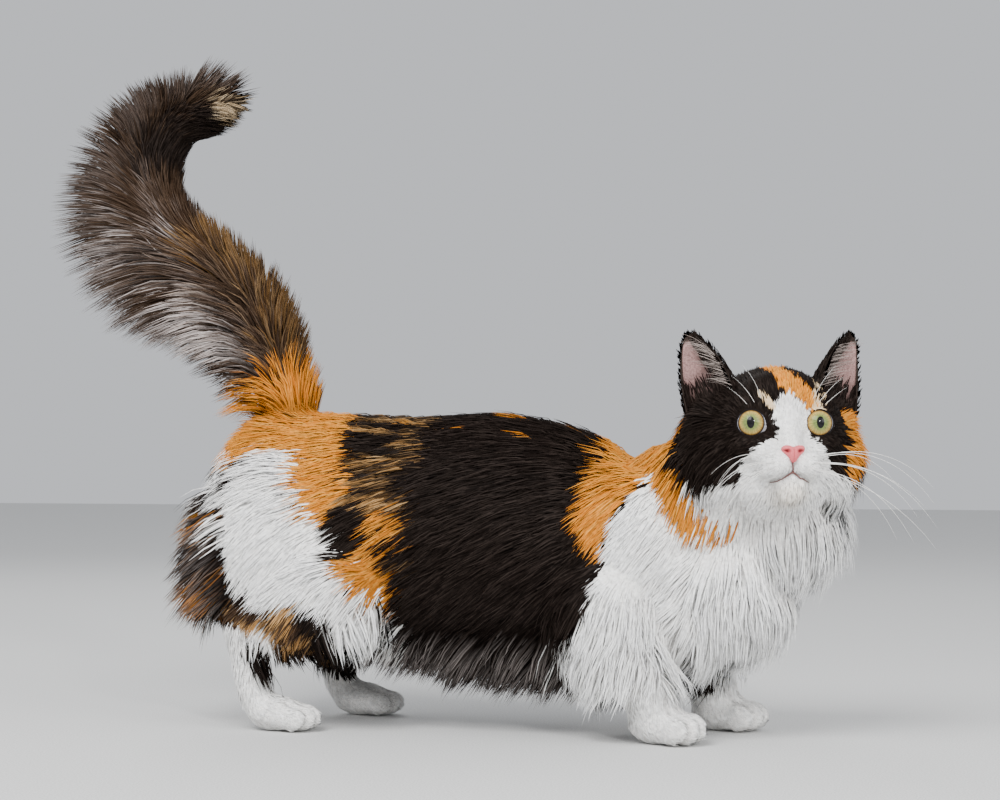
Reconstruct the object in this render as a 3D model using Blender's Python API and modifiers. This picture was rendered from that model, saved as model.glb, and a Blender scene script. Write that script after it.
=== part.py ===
"""A life-size standing munchkin cat with a semi-long coat, head turned to its right, tail raised.

Metres, +Z up, +X towards the front of the body, +Y to the cat's left. The origin is on the floor under the
middle of the model's box. The flesh is modelled whole and parted with thin cuts. The long coat (plume, ruff,
belly fringe, breeches, cheeks) is made of tapered locks fused to the flesh before it is parted.
"""

import math
import random

import bmesh
import bpy
import numpy as np
from mathutils import Matrix, Vector
from mathutils.bvhtree import BVHTree

MM = 0.001
GAP = 0.3 * MM
RIGHT, LEFT = -1, 1

# Fineness of the flesh: the voxel that blends the forms, and the triangles that are kept.
VOXEL = 2.5 * MM
BLEND_STEPS = 9
FLESH_TRIANGLES = 3000

PAW_TOP = 27 * MM

# Trunk, at stations along X: its top, its underside and its half width, under the loose coat.
TRUNK_X = [-198, -186, -160, -120, -60, 0, 45, 85, 118, 146, 166]
TRUNK_TOP = [160, 180, 197, 198, 196, 197, 188, 171, 158, 142, 122]
TRUNK_UNDER = [128, 102, 80, 66, 50, 40, 37, 38, 46, 60, 82]
TRUNK_HALF = [14, 34, 50, 56, 59, 61, 59, 55, 50, 42, 24]

# Head: the skull's middle, the turn of the face to the cat's right, and its upward tilt.
HEAD_PLACE = Vector((177, -34, 186)) * MM
HEAD_TURN = math.radians(-66)
HEAD_TILT = math.radians(7)
SKULL_MIDDLE, SKULL_RADII = (-12, 0, 7), (38, 37, 31)
EYE_RADIUS = 10.3 * MM
EYE_RINGS = 7
EYE_PLACE = (23.0, 19.7, -1.0)
LID_THICK = 1.7 * MM
LID_OPENING = (9.2, 7.2)
GAZE = (0.97, 0.10, 0.10)
NOSE_PLACE = (43.5, 0, -19.5)
NOSE_SIZE = (5.0, 6.6, 5.2)
EAR_BASE = (-7, 35, 14)
EAR_TIP = (-15, 50, 57.5)
EAR_WIDTH = 17.5
EAR_THICK = 2.2 * MM
EAR_SINK = 5.0

# Locks: shares of the width and of the ridge from root to tip, the shares of the length that are tried
# where one would end over another node, and how many grow in each region.
LOCK_WIDTHS = (0.85, 1.0, 0.78)
LOCK_RIDGES = (1.0, 1.0, 0.75)
LOCK_SHORTENED = (1.0, 0.8, 0.62, 0.45)
PLUME_ROWS, PLUME_AROUND, PLUME_END = 12, 7, 4
RUFF_ROWS, RUFF_ACROSS = 4, 7
BELLY_ALONG = 8
BREECH_ROWS, BREECH_ACROSS = 4, 3
CHEEK_ROWS, CHEEK_DOWN = 1, 5

# Mouth: half the width of its line, and one side's course over the face from the middle outwards.
MOUTH_DEPTH = 0.9 * MM
MOUTH_LINE = [(0.2, -32.6), (3.5, -34.2), (7, -36.4), (10.5, -38.2), (14, -38)]

# Whiskers on each side: their count, length in millimetres, how far they point ahead, and thickness.
WHISKERS = 6
WHISKER_LENGTH = {RIGHT: 64, LEFT: 92}
WHISKER_AHEAD = {RIGHT: 0.75, LEFT: 0.22}
WHISKER_THICK = 0.75 * MM

# The plane between head and neck: its direction, and its distance behind the skull's middle.
HEAD_CUT_UP = Vector((0.55, -0.35, 0.76))
HEAD_CUT_BACK = 40

# Colour and roughness of each kind of node.
FINISHES = {
    "head": ((0.30, 0.24, 0.20), 0.85),
    "neck": ((0.75, 0.72, 0.68), 0.85),
    "chest": ((0.80, 0.78, 0.74), 0.85),
    "torso": ((0.035, 0.025, 0.022), 0.85),
    "rump": ((0.50, 0.27, 0.09), 0.85),
    "tail": ((0.06, 0.045, 0.035), 0.85),
    "foreleg": ((0.80, 0.78, 0.74), 0.85),
    "forepaw": ((0.80, 0.77, 0.72), 0.85),
    "hindleg": ((0.70, 0.62, 0.52), 0.85),
    "hock": ((0.80, 0.77, 0.72), 0.85),
    "hindpaw": ((0.80, 0.77, 0.72), 0.85),
    "ear": ((0.35, 0.22, 0.20), 0.8),
    "eye": ((0.55, 0.42, 0.10), 0.1),
    "nose": ((0.75, 0.35, 0.35), 0.5),
}

# Paws: the middle of each sole on the floor, and where its toes point, in degrees from +X.
PAWS = {
    "forepaw_right": ((113, -48), -14),
    "forepaw_left": ((132, 32), -8),
    "hindpaw_right": ((-128, -56), -2),
    "hindpaw_left": ((-112, 44), 2),
}

# Tail: the line of its bones from the root to the tip, in the body's middle plane.
TAIL_X = [-136, -150, -162, -177, -199, -223, -242, -250, -246, -232, -214, -199]
TAIL_Z = [182, 206, 238, 267, 290, 309, 330, 354, 376, 391, 399, 402]
# How far the plume reaches from that line: behind and above it, and on its front.
PLUME_BACK = [34, 38, 48, 70, 77, 76, 69, 55, 40, 29, 22, 15]
PLUME_FRONT = [30, 28, 31, 29, 28, 26, 28, 32, 32, 29, 22, 13]
CORE_BACK, CORE_FRONT = 0.52, 0.76


def vector(x, y, z):
    return Vector((x, y, z)) * MM


def head_frame():
    """The head's own axes in the body's frame: ahead, to the cat's left, and up."""
    ahead = Vector(
        (
            math.cos(HEAD_TURN) * math.cos(HEAD_TILT),
            math.sin(HEAD_TURN) * math.cos(HEAD_TILT),
            math.sin(HEAD_TILT),
        )
    )
    aside = Vector((-math.sin(HEAD_TURN), math.cos(HEAD_TURN), 0))
    return Matrix((ahead, aside, ahead.cross(aside))).transposed()


HEAD_AXES = head_frame()


def head_point(ahead, aside, up):
    """A point given in millimetres from the skull's middle, along the head's own axes."""
    return HEAD_PLACE + HEAD_AXES @ vector(ahead, aside, up)


def head_direction(ahead, aside, up):
    return (HEAD_AXES @ Vector((ahead, aside, up))).normalized()


def clear_scene():
    for leftover in list(bpy.data.objects):
        bpy.data.objects.remove(leftover)


def collection_named(name):
    made = bpy.data.collections.new(name)
    bpy.context.scene.collection.children.link(made)
    return made


def object_from(mesh_maker, name, collection):
    """A new object whose mesh is filled by mesh_maker(bmesh)."""
    shape = bmesh.new()
    mesh_maker(shape)
    mesh = bpy.data.meshes.new(name)
    shape.to_mesh(mesh)
    shape.free()
    made = bpy.data.objects.new(name, mesh)
    collection.objects.link(made)
    return made


def curve_through(values, count):
    """count values along a smooth curve through the given ones (Catmull-Rom)."""
    given = np.array(values, float)
    padded = np.concatenate([[2 * given[0] - given[1]], given, [2 * given[-1] - given[-2]]])
    along = np.linspace(0, len(given) - 1, count)
    step = np.minimum(along.astype(int), len(given) - 2)
    t = along - step
    before, start, end, after = (padded[step + k] for k in range(4))
    return 0.5 * (
        2 * start
        + (end - before) * t
        + (2 * before - 5 * start + 4 * end - after) * t**2
        + (3 * start - before - 3 * end + after) * t**3
    )


def add_ball(shape, place, radii, turn=None, rings=16):
    """An ellipsoid; turn is the matrix of its own axes."""
    scale = Matrix.Diagonal((*radii, 1))
    pose = Matrix.Translation(place) @ (turn.to_4x4() if turn else Matrix.Identity(4)) @ scale
    bmesh.ops.create_uvsphere(shape, u_segments=2 * rings, v_segments=rings, radius=1, matrix=pose)


def ring_faces(shape, rings):
    """Closes a row of rings of vertices into a tube with flat ends."""
    count = len(rings[0])
    for near, far in zip(rings, rings[1:]):
        for i in range(count):
            j = (i + 1) % count
            shape.faces.new((near[i], near[j], far[j], far[i]))
    shape.faces.new(rings[0][::-1])
    shape.faces.new(rings[-1])


def add_limb(shape, points, radii, count=24, sides=20, domes=True):
    """A round limb along a smooth curve through points, with a dome at each end or flat ends."""
    path = np.stack([curve_through([p[k] for p in points], count) for k in range(3)], axis=1)
    widths = [float(w) for w in curve_through(radii, count)]
    rings = []
    for i, centre in enumerate(path):
        along = Vector(path[min(i + 1, count - 1)] - path[max(i - 1, 0)]).normalized()
        across = along.cross(Vector((0.2, 1, 0.1))).normalized()
        other = along.cross(across)
        ring = []
        for a in (2 * math.pi * k / sides for k in range(sides)):
            outward = across * math.cos(a) + other * math.sin(a)
            ring.append(shape.verts.new(Vector(centre) + outward * widths[i]))
        rings.append(ring)
    ring_faces(shape, rings)
    if domes:
        for centre, width in ((path[0], widths[0]), (path[-1], widths[-1])):
            add_ball(shape, Vector(centre), (width,) * 3, rings=10)


def add_trunk(shape, count=60, sides=40):
    """The trunk as a loft of egg-shaped sections between its top and underside curves."""
    x, top, under, half = (
        curve_through(row, count) * MM for row in (TRUNK_X, TRUNK_TOP, TRUNK_UNDER, TRUNK_HALF)
    )
    rings = []
    for i in range(count):
        middle, rise = (top[i] + under[i]) / 2, (top[i] - under[i]) / 2
        ring = []
        for a in (2 * math.pi * k / sides for k in range(sides)):
            low_belly = 1 - 0.10 * math.sin(a)
            ring.append(
                shape.verts.new(
                    (x[i], half[i] * low_belly * math.cos(a), middle + rise * math.sin(a))
                )
            )
        rings.append(ring[::-1])
    ring_faces(shape, rings)


def add_head(shape):
    """Skull, cheeks, bridge of the nose, whisker pads and chin, as overlapping rounds."""

    def round_form(place, radii):
        add_ball(shape, head_point(*place), [r * MM for r in radii], HEAD_AXES)

    round_form(SKULL_MIDDLE, SKULL_RADII)
    round_form((12, 0, 12), (24, 28, 19))
    round_form((8, 0, -8), (28, 38, 27))
    round_form((4, 0, -34), (29, 29, 20))
    round_form((31, 0, -41), (11, 10.5, 8.5))
    bridge = [head_point(16, 0, 8), head_point(30, 0, -5), head_point(40, 0, -18)]
    add_limb(shape, bridge, [12 * MM, 10 * MM, 7.5 * MM], 8)
    for side in (RIGHT, LEFT):
        round_form((-4, 27 * side, -16), (27, 20, 27))
        round_form((35.5, 9.5 * side, -27), (13, 12, 10.5))
        round_form((19, 18 * side, 11), (9, 12, 7))
        round_form((20, 21 * side, -14), (12, 12, 9))
        round_form((-12, 38 * side, 4), (15, 12, 16))


def add_neck(shape):
    """Neck and bib, from the shoulders up to the turned head."""
    add_limb(
        shape,
        [vector(84, 0, 118), vector(120, -4, 138), vector(148, -16, 160), vector(168, -28, 180)],
        [46 * MM, 45 * MM, 41 * MM, 34 * MM],
    )
    add_ball(shape, vector(150, -10, 176), (38 * MM, 38 * MM, 34 * MM))
    add_ball(shape, vector(178, -2, 136), (32 * MM, 46 * MM, 36 * MM))
    add_ball(shape, vector(148, -2, 98), (34 * MM, 46 * MM, 42 * MM))


def add_paw(shape, place, heading, long, wide, tall):
    """A paw with four toes, standing on the floor."""
    turn = Matrix.Rotation(math.radians(heading), 3, "Z")
    middle = Vector((*place, 0)) * MM

    def place_of(ahead, aside, up):
        return middle + turn @ vector(ahead, aside, up)

    palm = (long * 0.40 * MM, wide * 0.46 * MM, tall * 0.56 * MM)
    add_ball(shape, place_of(-4, 0, tall * 0.5), palm, turn)
    for aside, ahead in ((-0.33, 0.20), (-0.12, 0.30), (0.12, 0.30), (0.33, 0.20)):
        radii = (long * 0.22 * MM, wide * 0.155 * MM, tall * 0.42 * MM)
        add_ball(shape, place_of(long * ahead, wide * aside, tall * 0.40), radii, turn)


def add_legs(shape):
    """Shoulders, short forelegs, thighs, raised hocks and the four paws."""
    for side, paw in ((RIGHT, "forepaw_right"), (LEFT, "forepaw_left")):
        (x, y), heading = PAWS[paw]
        add_ball(shape, vector(84, 34 * side, 112), (46 * MM, 27 * MM, 54 * MM))
        shoulder, elbow = vector(76, 42 * side, 84), vector(x - 26, (y + 42 * side) / 2, 56)
        wrist, sole = vector(x - 12, y, 32), vector(x - 5, y, 14)
        add_limb(shape, [shoulder, elbow, wrist, sole], [33 * MM, 27 * MM, 19 * MM, 13.5 * MM])
        add_paw(shape, (x, y), heading, 52, 37, 24)
    for side, paw in ((RIGHT, "hindpaw_right"), (LEFT, "hindpaw_left")):
        (x, y), heading = PAWS[paw]
        add_ball(shape, vector(-138, 36 * side, 112), (58 * MM, 30 * MM, 62 * MM))
        add_limb(
            shape,
            [vector(-92, 46 * side, 86), vector(x + 6, y - 6 * side, 76), vector(x - 26, y, 64)],
            [31 * MM, 28 * MM, 15 * MM],
        )
        add_limb(
            shape,
            [vector(x - 27, y, 66), vector(x - 24, y, 42), vector(x - 17, y, 18), vector(x - 4, y, 12)],
            [14 * MM, 11.5 * MM, 11.5 * MM, 10.5 * MM],
        )
        add_paw(shape, (x, y), heading, 50, 34, 21)


def tail_line(count):
    """Places along the tail with its direction, its back, and the plume's reach behind and in front."""
    rows = (TAIL_X, TAIL_Z, PLUME_BACK, PLUME_FRONT)
    x, z, behind, before = (curve_through(row, count) for row in rows)
    line = []
    for i in range(count):
        first, last = max(i - 1, 0), min(i + 1, count - 1)
        along = Vector((x[last] - x[first], 0, z[last] - z[first])).normalized()
        back = Vector((-along.z, 0, along.x))
        line.append((Vector((x[i], 0, z[i])), along, back, float(behind[i]), float(before[i])))
    return line


def add_tail(shape):
    """The tail's flesh and the dense inner coat, half way out to the tips of the plume."""
    points, widths = [], []
    for place, along, back, behind, before in tail_line(len(TAIL_X)):
        behind, before = behind * CORE_BACK, before * CORE_FRONT
        points.append((place + back * (behind - before) / 2) * MM)
        widths.append((behind + before) / 2 * MM)
    add_limb(shape, points, widths, count=60)


def evaluated_mesh(made):
    bpy.context.view_layer.update()
    graph = bpy.context.evaluated_depsgraph_get()
    return bpy.data.meshes.new_from_object(made.evaluated_get(graph))


def apply_modifiers(made):
    made.data = evaluated_mesh(made)
    made.modifiers.clear()


def boolean(made, operation, other, solver="EXACT"):
    """Joins or cuts a mesh with another object, or with all of a collection, at once."""
    step = made.modifiers.new("step", "BOOLEAN")
    step.operation = operation
    step.solver = solver
    if isinstance(other, bpy.types.Collection):
        step.operand_type = "COLLECTION"
        step.collection = other
    else:
        step.object = other
    apply_modifiers(made)


def remove_object(made):
    bpy.data.objects.remove(made)


def face_outwards(made):
    shape = bmesh.new()
    shape.from_mesh(made.data)
    bmesh.ops.recalc_face_normals(shape, faces=shape.faces)
    shape.to_mesh(made.data)
    shape.free()


def split_faces(made):
    """Divides every face into triangles, quads always along the same diagonal."""
    shape = bmesh.new()
    shape.from_mesh(made.data)
    bmesh.ops.triangulate(shape, faces=shape.faces, quad_method="FIXED")
    shape.to_mesh(made.data)
    shape.free()


def keep_largest(made):
    """Leaves only the largest closed surface of a mesh."""
    shape = bmesh.new()
    shape.from_mesh(made.data)
    unseen = set(shape.faces)
    surfaces = []
    while unseen:
        reached, found = [unseen.pop()], []
        while reached:
            face = reached.pop()
            found.append(face)
            for edge in face.edges:
                for other in edge.link_faces:
                    if other in unseen:
                        unseen.remove(other)
                        reached.append(other)
        surfaces.append(found)

    def volume(faces):
        return sum(face.calc_center_median().dot(face.normal) * face.calc_area() for face in faces) / 3

    surfaces.sort(key=volume)
    for faces in surfaces[:-1]:
        bmesh.ops.delete(shape, geom=faces, context="FACES")
    loose = [v for v in shape.verts if not v.link_faces]
    bmesh.ops.delete(shape, geom=loose, context="VERTS")
    shape.to_mesh(made.data)
    shape.free()


def ball_object(name, place, radii, collection, turn=None, rings=8):
    return object_from(lambda shape: add_ball(shape, place, radii, turn, rings), name, collection)


def grown_outline(points, by):
    """A closed outline that runs anticlockwise, moved outwards by an even distance."""
    grown = []
    for before, here, after in zip(points[-1:] + points[:-1], points, points[1:] + points[:1]):
        first, second = (here - before).normalized(), (after - here).normalized()
        miter = Vector((first.y + second.y, -first.x - second.x)) / (1 + first.dot(second))
        grown.append(here + miter * by)
    return grown


def prism(name, outline, near, far, grow, collection, frame=None):
    """A straight block with an outline in X and Z, from near to far along Y, all grown by a distance.

    Outline and ends are in millimetres, in the body's frame or in the given one.
    """
    points = grown_outline([Vector(p) * MM for p in outline], grow)

    def sides(shape):
        rings = []
        for y in (near * MM - grow, far * MM + grow):
            rings.append([shape.verts.new((p.x, y, p.y)) for p in points])
        ring_faces(shape, rings)
        if frame:
            bmesh.ops.transform(shape, matrix=frame, verts=shape.verts)
        bmesh.ops.recalc_face_normals(shape, faces=shape.faces)

    return object_from(sides, name, collection)


def part_off(whole, name, outline, near, far, collection, cutters, frame=None):
    """Takes what lies inside a block off the whole body as a node, clear of the rest by the gap."""
    piece = bpy.data.objects.new(name, whole.data.copy())
    collection.objects.link(piece)
    for made, operation, grow in ((piece, "INTERSECT", 0), (whole, "DIFFERENCE", GAP)):
        cutter = prism("cutter", outline, near, far, grow, cutters, frame)
        boolean(made, operation, cutter, "MANIFOLD")
        remove_object(cutter)
        keep_largest(made)
    piece.data.name = name
    return piece


def arc(centre, radii, start, stop, count=9):
    """Points along part of an ellipse in X and Z, by angles in degrees from +X."""
    angles = [math.radians(start + (stop - start) * k / (count - 1)) for k in range(count)]
    return [(centre[0] + radii[0] * math.cos(a), centre[1] + radii[1] * math.sin(a)) for a in angles]


def body_cells():
    """The blocks that part the body, in the order they are taken off: name, outline, ends and frame."""
    cells = []

    def cell(name, outline, near=-200, far=200, frame=None):
        cells.append((name, outline, near, far, frame))

    up = HEAD_CUT_UP.normalized()
    side = up.cross(Vector((1, 0, 0))).normalized()
    frame = Matrix((side.cross(up), side, up)).transposed().to_4x4()
    frame.translation = HEAD_PLACE - up * HEAD_CUT_BACK * MM
    cell("head", [(-160, 0), (160, 0), (160, 200), (-160, 200)], frame=frame)
    cell("tail_tip", [(-350, 345), (-140, 364), (-140, 470), (-350, 470)])
    cell("tail_middle", [(-300, 178), (-150, 344), (-150, 470), (-350, 470), (-350, 178)])
    cell("tail_root", [(-259, 156), (-95, 231), (-95, 470), (-350, 470), (-350, 156)])
    for name, ((x, y), heading) in PAWS.items():
        back, front, top = (-44, 46, 27) if name.startswith("fore") else (-40, 46, 25)
        inner = 8 if name.startswith("fore") else 12
        near, far = (-120, -inner) if y < 0 else (inner, 120)
        cell(name, [(x + back, -20), (x + front, -20), (x + front, top), (x + back, top)], near, far)
    for word, side in (("right", RIGHT), ("left", LEFT)):
        near, far = (-130, -15) if side < 0 else (15, 130)
        x = PAWS["forepaw_" + word][0][0]
        cell("foreleg_" + word, [(x - 36, 10), (x + 18, 10)] + arc((82, 96), (41, 44), 0, 180), near, far)
        near, far = (-130, -11) if side < 0 else (11, 130)
        x = PAWS["hindpaw_" + word][0][0]
        cell("hock_" + word, [(x - 50, 10), (x - 4, 10), (x - 4, 49), (x - 54, 49)], near, far)
        hock = [(x - 58, 10), (x + 2, 10), (x + 12, 36), (-76, 40)]
        thigh = arc((-128, 92), (62, 62), -10, 90)
        cell("hindleg_" + word, hock + thigh + [(-262, 154), (-262, 34), (-192, 34)], near, far)
    cell("neck", [(134, 112), (260, 124), (260, 260), (23, 260)])
    cell("chest", [(56, -20), (260, -20), (260, 260), (56, 260)])
    cell("rump", [(-300, -20), (-112, -20), (-112, 260), (-300, 260)])
    return cells


CELLS = body_cells()


def cell_of(place):
    """The name of the node that a place in the body falls to."""
    for name, outline, near, far, frame in CELLS:
        x, y, z = (frame.inverted() @ place if frame else place) / MM
        inside = near < y < far
        if inside:
            crossings = 0
            for (x1, z1), (x2, z2) in zip(outline, outline[1:] + outline[:1]):
                if (z1 > z) != (z2 > z) and x < x1 + (x2 - x1) * (z - z1) / (z2 - z1):
                    crossings += 1
            inside = crossings % 2 == 1
        if inside:
            return name
    return "torso"


def part_body(whole, collection, cutters):
    """Divides the whole body into its named nodes, from the ends inwards."""
    nodes = {}
    for name, outline, near, far, frame in CELLS:
        nodes[name] = part_off(whole, name, outline, near, far, collection, cutters, frame)
    whole.name = "torso"
    whole.data.name = "torso"
    nodes["torso"] = whole
    return nodes


def surface_of(made):
    shape = bmesh.new()
    shape.from_mesh(made.data)
    tree = BVHTree.FromBMesh(shape)
    shape.free()
    return tree


def ear_sheet(name, side, margin, collection):
    """One ear's skin as a cupped leaf, sunk in the head, with a margin all round it in millimetres."""
    base, tip = (Vector((p[0], p[1] * side, p[2])) for p in (EAR_BASE, EAR_TIP))
    upward = (tip - base).normalized()
    height = (tip - base).length
    opening = Vector((0.84, 0.54 * side, 0))
    opening = (opening - upward * opening.dot(upward)).normalized()
    across = upward.cross(opening)
    rows, columns = 6, 8

    def grid(shape):
        places = []
        for i in range(rows):
            u = -0.28 + 1.28 * i / (rows - 1)
            bare = min(max(u, 0), 0.985)
            radius = EAR_WIDTH * (1 - 0.42 * bare) * (1 + 0.12 * min(u, 0))
            spread = math.radians(112) * (1 - bare) ** 0.5
            middle = base + upward * (u * height) + opening * (4.0 * bare * bare)
            row = []
            for k in range(columns):
                a = spread * (2 * k / (columns - 1) - 1)
                out = -opening * math.cos(a) * 0.82 + across * math.sin(a)
                row.append(HEAD_PLACE + HEAD_AXES @ ((middle + out * radius) * MM))
            beyond = 1.5 * margin * MM
            first = row[0] + (row[0] - row[1]).normalized() * beyond
            last = row[-1] + (row[-1] - row[-2]).normalized() * beyond
            places.append([first] + row[1:-1] + [last])
        rise = HEAD_AXES @ upward * margin * MM
        places[0] = [p - rise for p in places[0]]
        places[-1] = [p + rise for p in places[-1]]
        rings = [[shape.verts.new(p) for p in row] for row in places]
        for near, far in zip(rings, rings[1:]):
            for k in range(columns - 1):
                shape.faces.new((near[k], near[k + 1], far[k + 1], far[k]))

    made = object_from(grid, name, collection)
    walls = made.modifiers.new("walls", "SOLIDIFY")
    walls.thickness = EAR_THICK + 2 * margin * MM
    walls.offset = 0
    walls.use_even_offset = True
    apply_modifiers(made)
    face_outwards(made)
    split_faces(made)
    deep = [(r - EAR_SINK - margin) * MM for r in SKULL_RADII]
    core = ball_object("core", head_point(*SKULL_MIDDLE), deep, collection, HEAD_AXES, 10)
    boolean(made, "DIFFERENCE", core)
    remove_object(core)
    keep_largest(made)
    return made


def add_thread(shape, path, widths, sides=3):
    """A thin tapered strand along a path, closed to a point at its far end."""
    rings = []
    for i, centre in enumerate(path[:-1]):
        along = (path[i + 1] - path[max(i - 1, 0)]).normalized()
        across = along.cross(Vector((0.3, 0.2, 1))).normalized()
        other = along.cross(across)
        rings.append(
            [
                shape.verts.new(centre + (across * math.cos(a) + other * math.sin(a)) * widths[i] / 2)
                for a in (2 * math.pi * k / sides for k in range(sides))
            ]
        )
    for near, far in zip(rings, rings[1:]):
        for k in range(sides):
            shape.faces.new((near[k], near[(k + 1) % sides], far[(k + 1) % sides], far[k]))
    shape.faces.new(rings[0][::-1])
    tip = shape.verts.new(path[-1])
    for k in range(sides):
        shape.faces.new((rings[-1][k], rings[-1][(k + 1) % sides], tip))
    bmesh.ops.recalc_face_normals(shape, faces=shape.faces)


def dig_eyes(head, nodes, collection, cutters):
    """Lids over each eye, the socket behind them and the opening between them, then the eye."""
    for word, side in (("right", RIGHT), ("left", LEFT)):
        middle = head_point(EYE_PLACE[0], EYE_PLACE[1] * side, EYE_PLACE[2])
        lids = ball_object("lids", middle, (EYE_RADIUS + LID_THICK,) * 3, cutters, HEAD_AXES, 6)
        boolean(head, "UNION", lids)
        socket = ball_object("socket", middle, (EYE_RADIUS + GAP,) * 3, cutters, HEAD_AXES, EYE_RINGS)
        boolean(head, "DIFFERENCE", socket)
        gaze = (HEAD_AXES @ Vector((GAZE[0], GAZE[1] * side, GAZE[2]))).normalized()
        across = gaze.cross(Vector((0, 0, 1))).normalized()
        frame = Matrix((across, gaze, across.cross(gaze))).transposed().to_4x4()
        frame.translation = middle
        opening = prism("opening", arc((0, 0), LID_OPENING, 0, 330, 12), 0, 40, 0, cutters, frame)
        boolean(head, "DIFFERENCE", opening)
        for made in (lids, socket, opening):
            remove_object(made)
        keep_largest(head)
        name = "eye_" + word
        nodes[name] = ball_object(name, middle, (EYE_RADIUS,) * 3, collection, HEAD_AXES, EYE_RINGS)


def nose_block(name, margin, collection, rings=7):
    """The nose leather: broad above, narrow below."""
    made = ball_object(name, Vector(), [r * MM + margin for r in NOSE_SIZE], collection, None, rings)
    for point in made.data.vertices:
        point.co.y *= 0.78 + 0.22 * point.co.z / (NOSE_SIZE[2] * MM)
    made.data.transform(Matrix.Translation(head_point(*NOSE_PLACE)) @ HEAD_AXES.to_4x4())
    return made


def set_nose(head, nodes, collection, cutters):
    recess = nose_block("recess", GAP, cutters)
    boolean(head, "DIFFERENCE", recess)
    remove_object(recess)
    keep_largest(head)
    nose = nose_block("nose", 0, collection)
    for side in (RIGHT, LEFT):
        place = head_point(NOSE_PLACE[0] + 4.2, 3.6 * side, NOSE_PLACE[2] - 0.6)
        nostril = ball_object("nostril", place, (2.2 * MM, 1.5 * MM, 1.0 * MM), cutters, HEAD_AXES, 5)
        boolean(nose, "DIFFERENCE", nostril)
        remove_object(nostril)
    keep_largest(nose)
    nodes["nose"] = nose


def cut_mouth(head, cutters):
    """The line of the mouth: down from the nose, then out under each lip."""
    tree = surface_of(head)
    ahead = head_direction(1, 0, 0)

    def on_face(aside, up):
        hit = tree.ray_cast(head_point(90, aside, up), -ahead)
        return hit[0]

    lines = [[(0, -26), (0, -28.5), (0, -31), (0, -33.5)]]
    for side in (RIGHT, LEFT):
        lines.append([(a * side, up) for a, up in MOUTH_LINE])
    for line in lines:
        path = [on_face(*p) for p in line]
        groove = object_from(
            lambda shape: add_limb(shape, path, [MOUTH_DEPTH] * len(path), 6, 5, False), "groove", cutters
        )
        face_outwards(groove)
        boolean(head, "DIFFERENCE", groove)
        remove_object(groove)
    keep_largest(head)


def set_ears(head, nodes, collection, cutters):
    for word, side in (("right", RIGHT), ("left", LEFT)):
        slot = ear_sheet("slot", side, GAP / MM, cutters)
        boolean(head, "DIFFERENCE", slot)
        remove_object(slot)
        nodes["ear_" + word] = ear_sheet("ear_" + word, side, 0, collection)
    keep_largest(head)


def add_lock(shape, root, outward, start, end, length, width, thick, sink=5.0):
    """A flat tapered lock with a ridge: it leaves its root along start and bends round to end.

    Lengths are in millimetres. The root lies sunk in the flesh under the lock.
    """
    count = len(LOCK_WIDTHS)
    step = (length + sink) / count * MM
    place = root - (outward * 0.75 + start * 0.25) * sink * MM
    rings = []
    for i in range(count):
        heading = start.lerp(end, i / (count - 1)).normalized()
        across = heading.cross(outward).normalized()
        ridge = across.cross(heading)
        half, rise = width * LOCK_WIDTHS[i] / 2 * MM, thick * LOCK_RIDGES[i] * MM
        corners = (place - across * half, place + across * half, place + ridge * rise)
        rings.append([shape.verts.new(corner) for corner in corners])
        place = place + heading * step
    tip = shape.verts.new(place)
    faces = [shape.faces.new(rings[0])]
    for near, far in zip(rings, rings[1:]):
        faces += [shape.faces.new((near[k], near[k - 1], far[k - 1], far[k])) for k in range(3)]
    faces += [shape.faces.new((rings[-1][k], rings[-1][k - 1], tip)) for k in range(3)]
    return faces


def set_lock(locks, root, outward, start, end, length, width, thick, sink=5.0):
    """One lock of the coat, short enough to end over its own node, or bent in to lie on the next."""
    home = cell_of(root)
    reach = (start + end) * length / 2 * MM
    shares = [share for share in LOCK_SHORTENED if cell_of(root + reach * share) == home]
    if shares:
        length *= shares[0]
    else:
        start, end = (start - outward * 0.25).normalized(), (end - outward * 0.75).normalized()
    made = object_from(
        lambda shape: add_lock(shape, root, outward, start, end, length, width, thick, sink), "lock", locks
    )
    face_outwards(made)


def surface_at(tree, inside, outward, reach=120):
    """Where a line out from a place inside the body leaves its surface, and the surface's direction there."""
    root, normal, face, distance = tree.ray_cast(inside + outward * reach * MM, -outward)
    return (root, normal) if root else (None, None)


def mixed(*terms):
    """The direction of a weighted sum of directions."""
    return sum((Vector(direction) * weight for weight, direction in terms), Vector()).normalized()


DOWN = Vector((0, 0, -1))


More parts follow.
